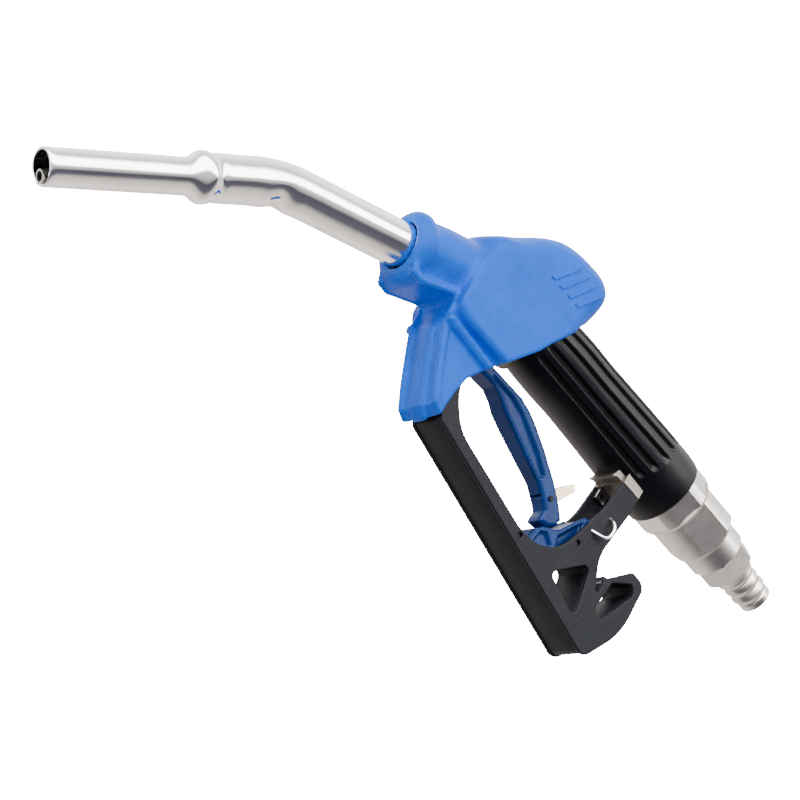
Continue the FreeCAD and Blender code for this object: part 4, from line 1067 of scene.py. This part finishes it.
@dataclass
class CarriedNodes:
    """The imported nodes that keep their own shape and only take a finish."""

    finishes: dict[str, bpy.types.Material]
    dark: bpy.types.Material
    dark_nodes: tuple[str, ...] = ("rack_pins", "latch_rivet", "guard_screws", "lever_pivot_pin")

    def dress_all(self, replaced: set[str]) -> None:
        """Gives every node that still shows the material of its slot, and the small dark fixings
        the blackened finish.

        Args:
            replaced: Nodes that another piece stands for.
        """
        slots = {part["node"]: part["material_slot"] for part in frame["record"]["subparts"]}
        for name, node in frame["nodes"].items():
            if name in replaced:
                continue
            finish = self.dark if name in self.dark_nodes else self.finishes[slots[name]]
            node.data.materials.clear()
            node.data.materials.append(finish)
        log.info("%d packed nodes carried over", len(slots) - len(replaced))


# ---------------------------------------------------------------- studio

@dataclass
class Studio:
    """Camera, soft lights, pale floor and the plain surroundings."""

    eye: Corner = (-392.085, -772.596, -611.481)
    right: Corner = (0.62588147, -0.61205553, 0.48338432)
    up: Corner = (-0.69374314, -0.15370748, 0.70362949)
    back: Corner = (-0.35636053, -0.77573322, -0.520812)
    lens: float = 86.782

    def build(self) -> None:
        """Makes everything that isn't part of the nozzle."""
        self.place_camera()
        self.place_floor()
        self.light_world()
        for name, way, size, power, tint in (
                ("key_softbox", (0.1, 1.0, 0.6), 0.9, 15.0, "FAFCFF"),
                ("front_softbox", (0.7, 0.15, 1.1), 0.9, 10.0, "F2F6FF"),
                ("low_softbox", (0.1, -1.0, 0.45), 1.0, 3.5, "FFFFFF"),
                ("left_softbox", (-1.2, 0.1, 0.35), 0.8, 4.0, "FAFCFF"),
                ("rim_softbox", (0.9, 0.75, -0.4), 0.7, 9.0, "FFFFFF")):
            self.place_light(name, way, size, power, tint)

    def place_camera(self) -> None:
        """Sets the camera where its frame's axes say."""
        data = bpy.data.cameras.new("studio_camera")
        data.lens = self.lens
        camera = bpy.data.objects.new("studio_camera", data)
        turn = Matrix((self.right, self.up, self.back)).transposed()
        where = (Vector(self.eye) + Vector((HANDLE_SHIFT, 0, 0))) * MM
        camera.matrix_world = Matrix.Translation(where) @ turn.to_4x4()
        bpy.context.scene.collection.objects.link(camera)
        bpy.context.scene.camera = camera

    def place_floor(self) -> None:
        """A pale floor under the nozzle that is clear from below."""
        low, high = CAD_BOX
        centre = (low + high) / 2
        mesh = bpy.data.meshes.new("pale_floor")
        reach, level = 6.0, low.z - 0.02
        mesh.from_pydata([(centre.x + a * reach, centre.y + b * reach, level)
                          for a, b in ((-1, -1), (1, -1), (1, 1), (-1, 1))], [], [(0, 1, 2, 3)])
        floor = bpy.data.objects.new("pale_floor", mesh)
        bpy.context.scene.collection.objects.link(floor)
        floor.visible_shadow = floor.visible_diffuse = floor.visible_glossy = False
        paper = bpy.data.materials.new("pale_paper")
        paper.use_nodes = True
        tree = paper.node_tree
        tree.nodes.clear()
        side = add_node(tree, "ShaderNodeNewGeometry").outputs["Backfacing"]
        grain = add_node(tree, "ShaderNodeTexNoise", {"Scale": 40.0})
        tone = Finish.blend(tree, grain.outputs[0], linear("F2F2F0"), linear("F6F6F4"))
        top = add_node(tree, "ShaderNodeBsdfDiffuse", {"Color": tone})
        clear = add_node(tree, "ShaderNodeBsdfTransparent")
        mix = add_node(tree, "ShaderNodeMixShader", {0: side, 1: top.outputs[0],
                                                     2: clear.outputs[0]})
        add_node(tree, "ShaderNodeOutputMaterial", {"Surface": mix.outputs[0]})
        mesh.materials.append(paper)

    def light_world(self) -> None:
        """Even soft light, and a striped surround that only the reflections show."""
        world = bpy.data.worlds.new("studio_world")
        bpy.context.scene.world = world
        world.use_nodes = True
        tree = world.node_tree
        tree.nodes.clear()
        way = add_node(tree, "ShaderNodeTexCoord").outputs["Generated"]
        height, depth = (
            add_node(tree, "ShaderNodeVectorMath", {0: way, 1: axis},
                     operation="DOT_PRODUCT").outputs["Value"] for axis in (self.up, self.back))
        round_view = add_node(tree, "ShaderNodeMath", {0: height, 1: depth}, operation="ARCTAN2")
        spread = add_node(tree, "ShaderNodeMapRange",
                          {"Value": round_view.outputs[0], "From Min": -math.pi,
                           "From Max": math.pi})
        ramp = add_node(tree, "ShaderNodeValToRGB", {0: spread.outputs[0]})
        stops = ((0.0, "585452"), (0.16, "686462"), (0.27, "504D4B"), (0.32, "1E1E22"),
                 (0.41, "18181C"), (0.46, "484849"), (0.55, "606060"), (0.58, "FFFFFF"),
                 (0.71, "FFFFFF"), (0.76, "5C5C5A"), (0.88, "8C8C8C"), (1.0, "606060"))
        while len(ramp.color_ramp.elements) < len(stops):
            ramp.color_ramp.elements.new(0.5)
        for element, (position, colour) in zip(ramp.color_ramp.elements, stops):
            element.position = position
            element.color = linear(colour)
        seen = add_node(tree, "ShaderNodeLightPath").outputs
        soft = add_node(tree, "ShaderNodeBackground", {0: linear("F4F8FF"), 1: 0.42})
        striped = add_node(tree, "ShaderNodeBackground", {0: ramp.outputs[0], 1: 12.0})
        paper = add_node(tree, "ShaderNodeBackground", {0: linear("FFFFFF"), 1: 24.0})
        lit = add_node(tree, "ShaderNodeMixShader", {0: seen["Is Glossy Ray"],
                                                     1: soft.outputs[0], 2: striped.outputs[0]})
        mix = add_node(tree, "ShaderNodeMixShader", {0: seen["Is Camera Ray"],
                                                     1: lit.outputs[0], 2: paper.outputs[0]})
        add_node(tree, "ShaderNodeOutputWorld", {"Surface": mix.outputs[0]})

    def place_light(self, name: str, way: Corner, size: float, power: float, tint: str) -> None:
        """Aims a square soft light at the nozzle from a direction in the camera's axes.

        Args:
            name: The light's name.
            way: How far right, up and back it stands, in metres.
            size: Its side in metres.
            power: Its power in watts.
            tint: Its colour.
        """
        low, high = CAD_BOX
        centre = (low + high) / 2
        offset = Matrix((self.right, self.up, self.back)).transposed() @ Vector(way)
        data = bpy.data.lights.new(name, "AREA")
        data.shape, data.size, data.energy = "SQUARE", size, power
        data.color = linear(tint)[:3]
        light = bpy.data.objects.new(name, data)
        light.location = centre + offset
        light.visible_glossy = False
        light.rotation_euler = (-offset).to_track_quat("-Z", "Y").to_euler()
        bpy.context.scene.collection.objects.link(light)


# ---------------------------------------------------------------- assembly

def main() -> None:
    """Builds every sub-assembly, then the studio."""
    logging.basicConfig(level=logging.INFO, format="%(name)s: %(message)s")
    finishes = {slot: finish.material() for slot, finish in FINISH_OF_SLOT.items()}
    ScuffCover().build(finishes["blue_cover"])
    LeverGuard().build(finishes["black_guard"])
    TriggerLever().build(finishes["blue_lever"])
    HoldOpenRack().build(finishes["blue_lever"])
    HandGrip().build(finishes["black_grip"])
    Spout().build(finishes["polished_steel"])
    WireLoop().build(finishes["polished_steel"])
    replaced = {"scuff_cover", "lever_guard", "lever", "hold_open_rack", "grip_sleeve",
                "spout_tube", "wire_loop"}
    CarriedNodes(finishes, BLACKENED_STEEL.material()).dress_all(replaced)
    Studio().build()
    bpy.context.view_layer.update()


if __name__ == "__main__":
    main()
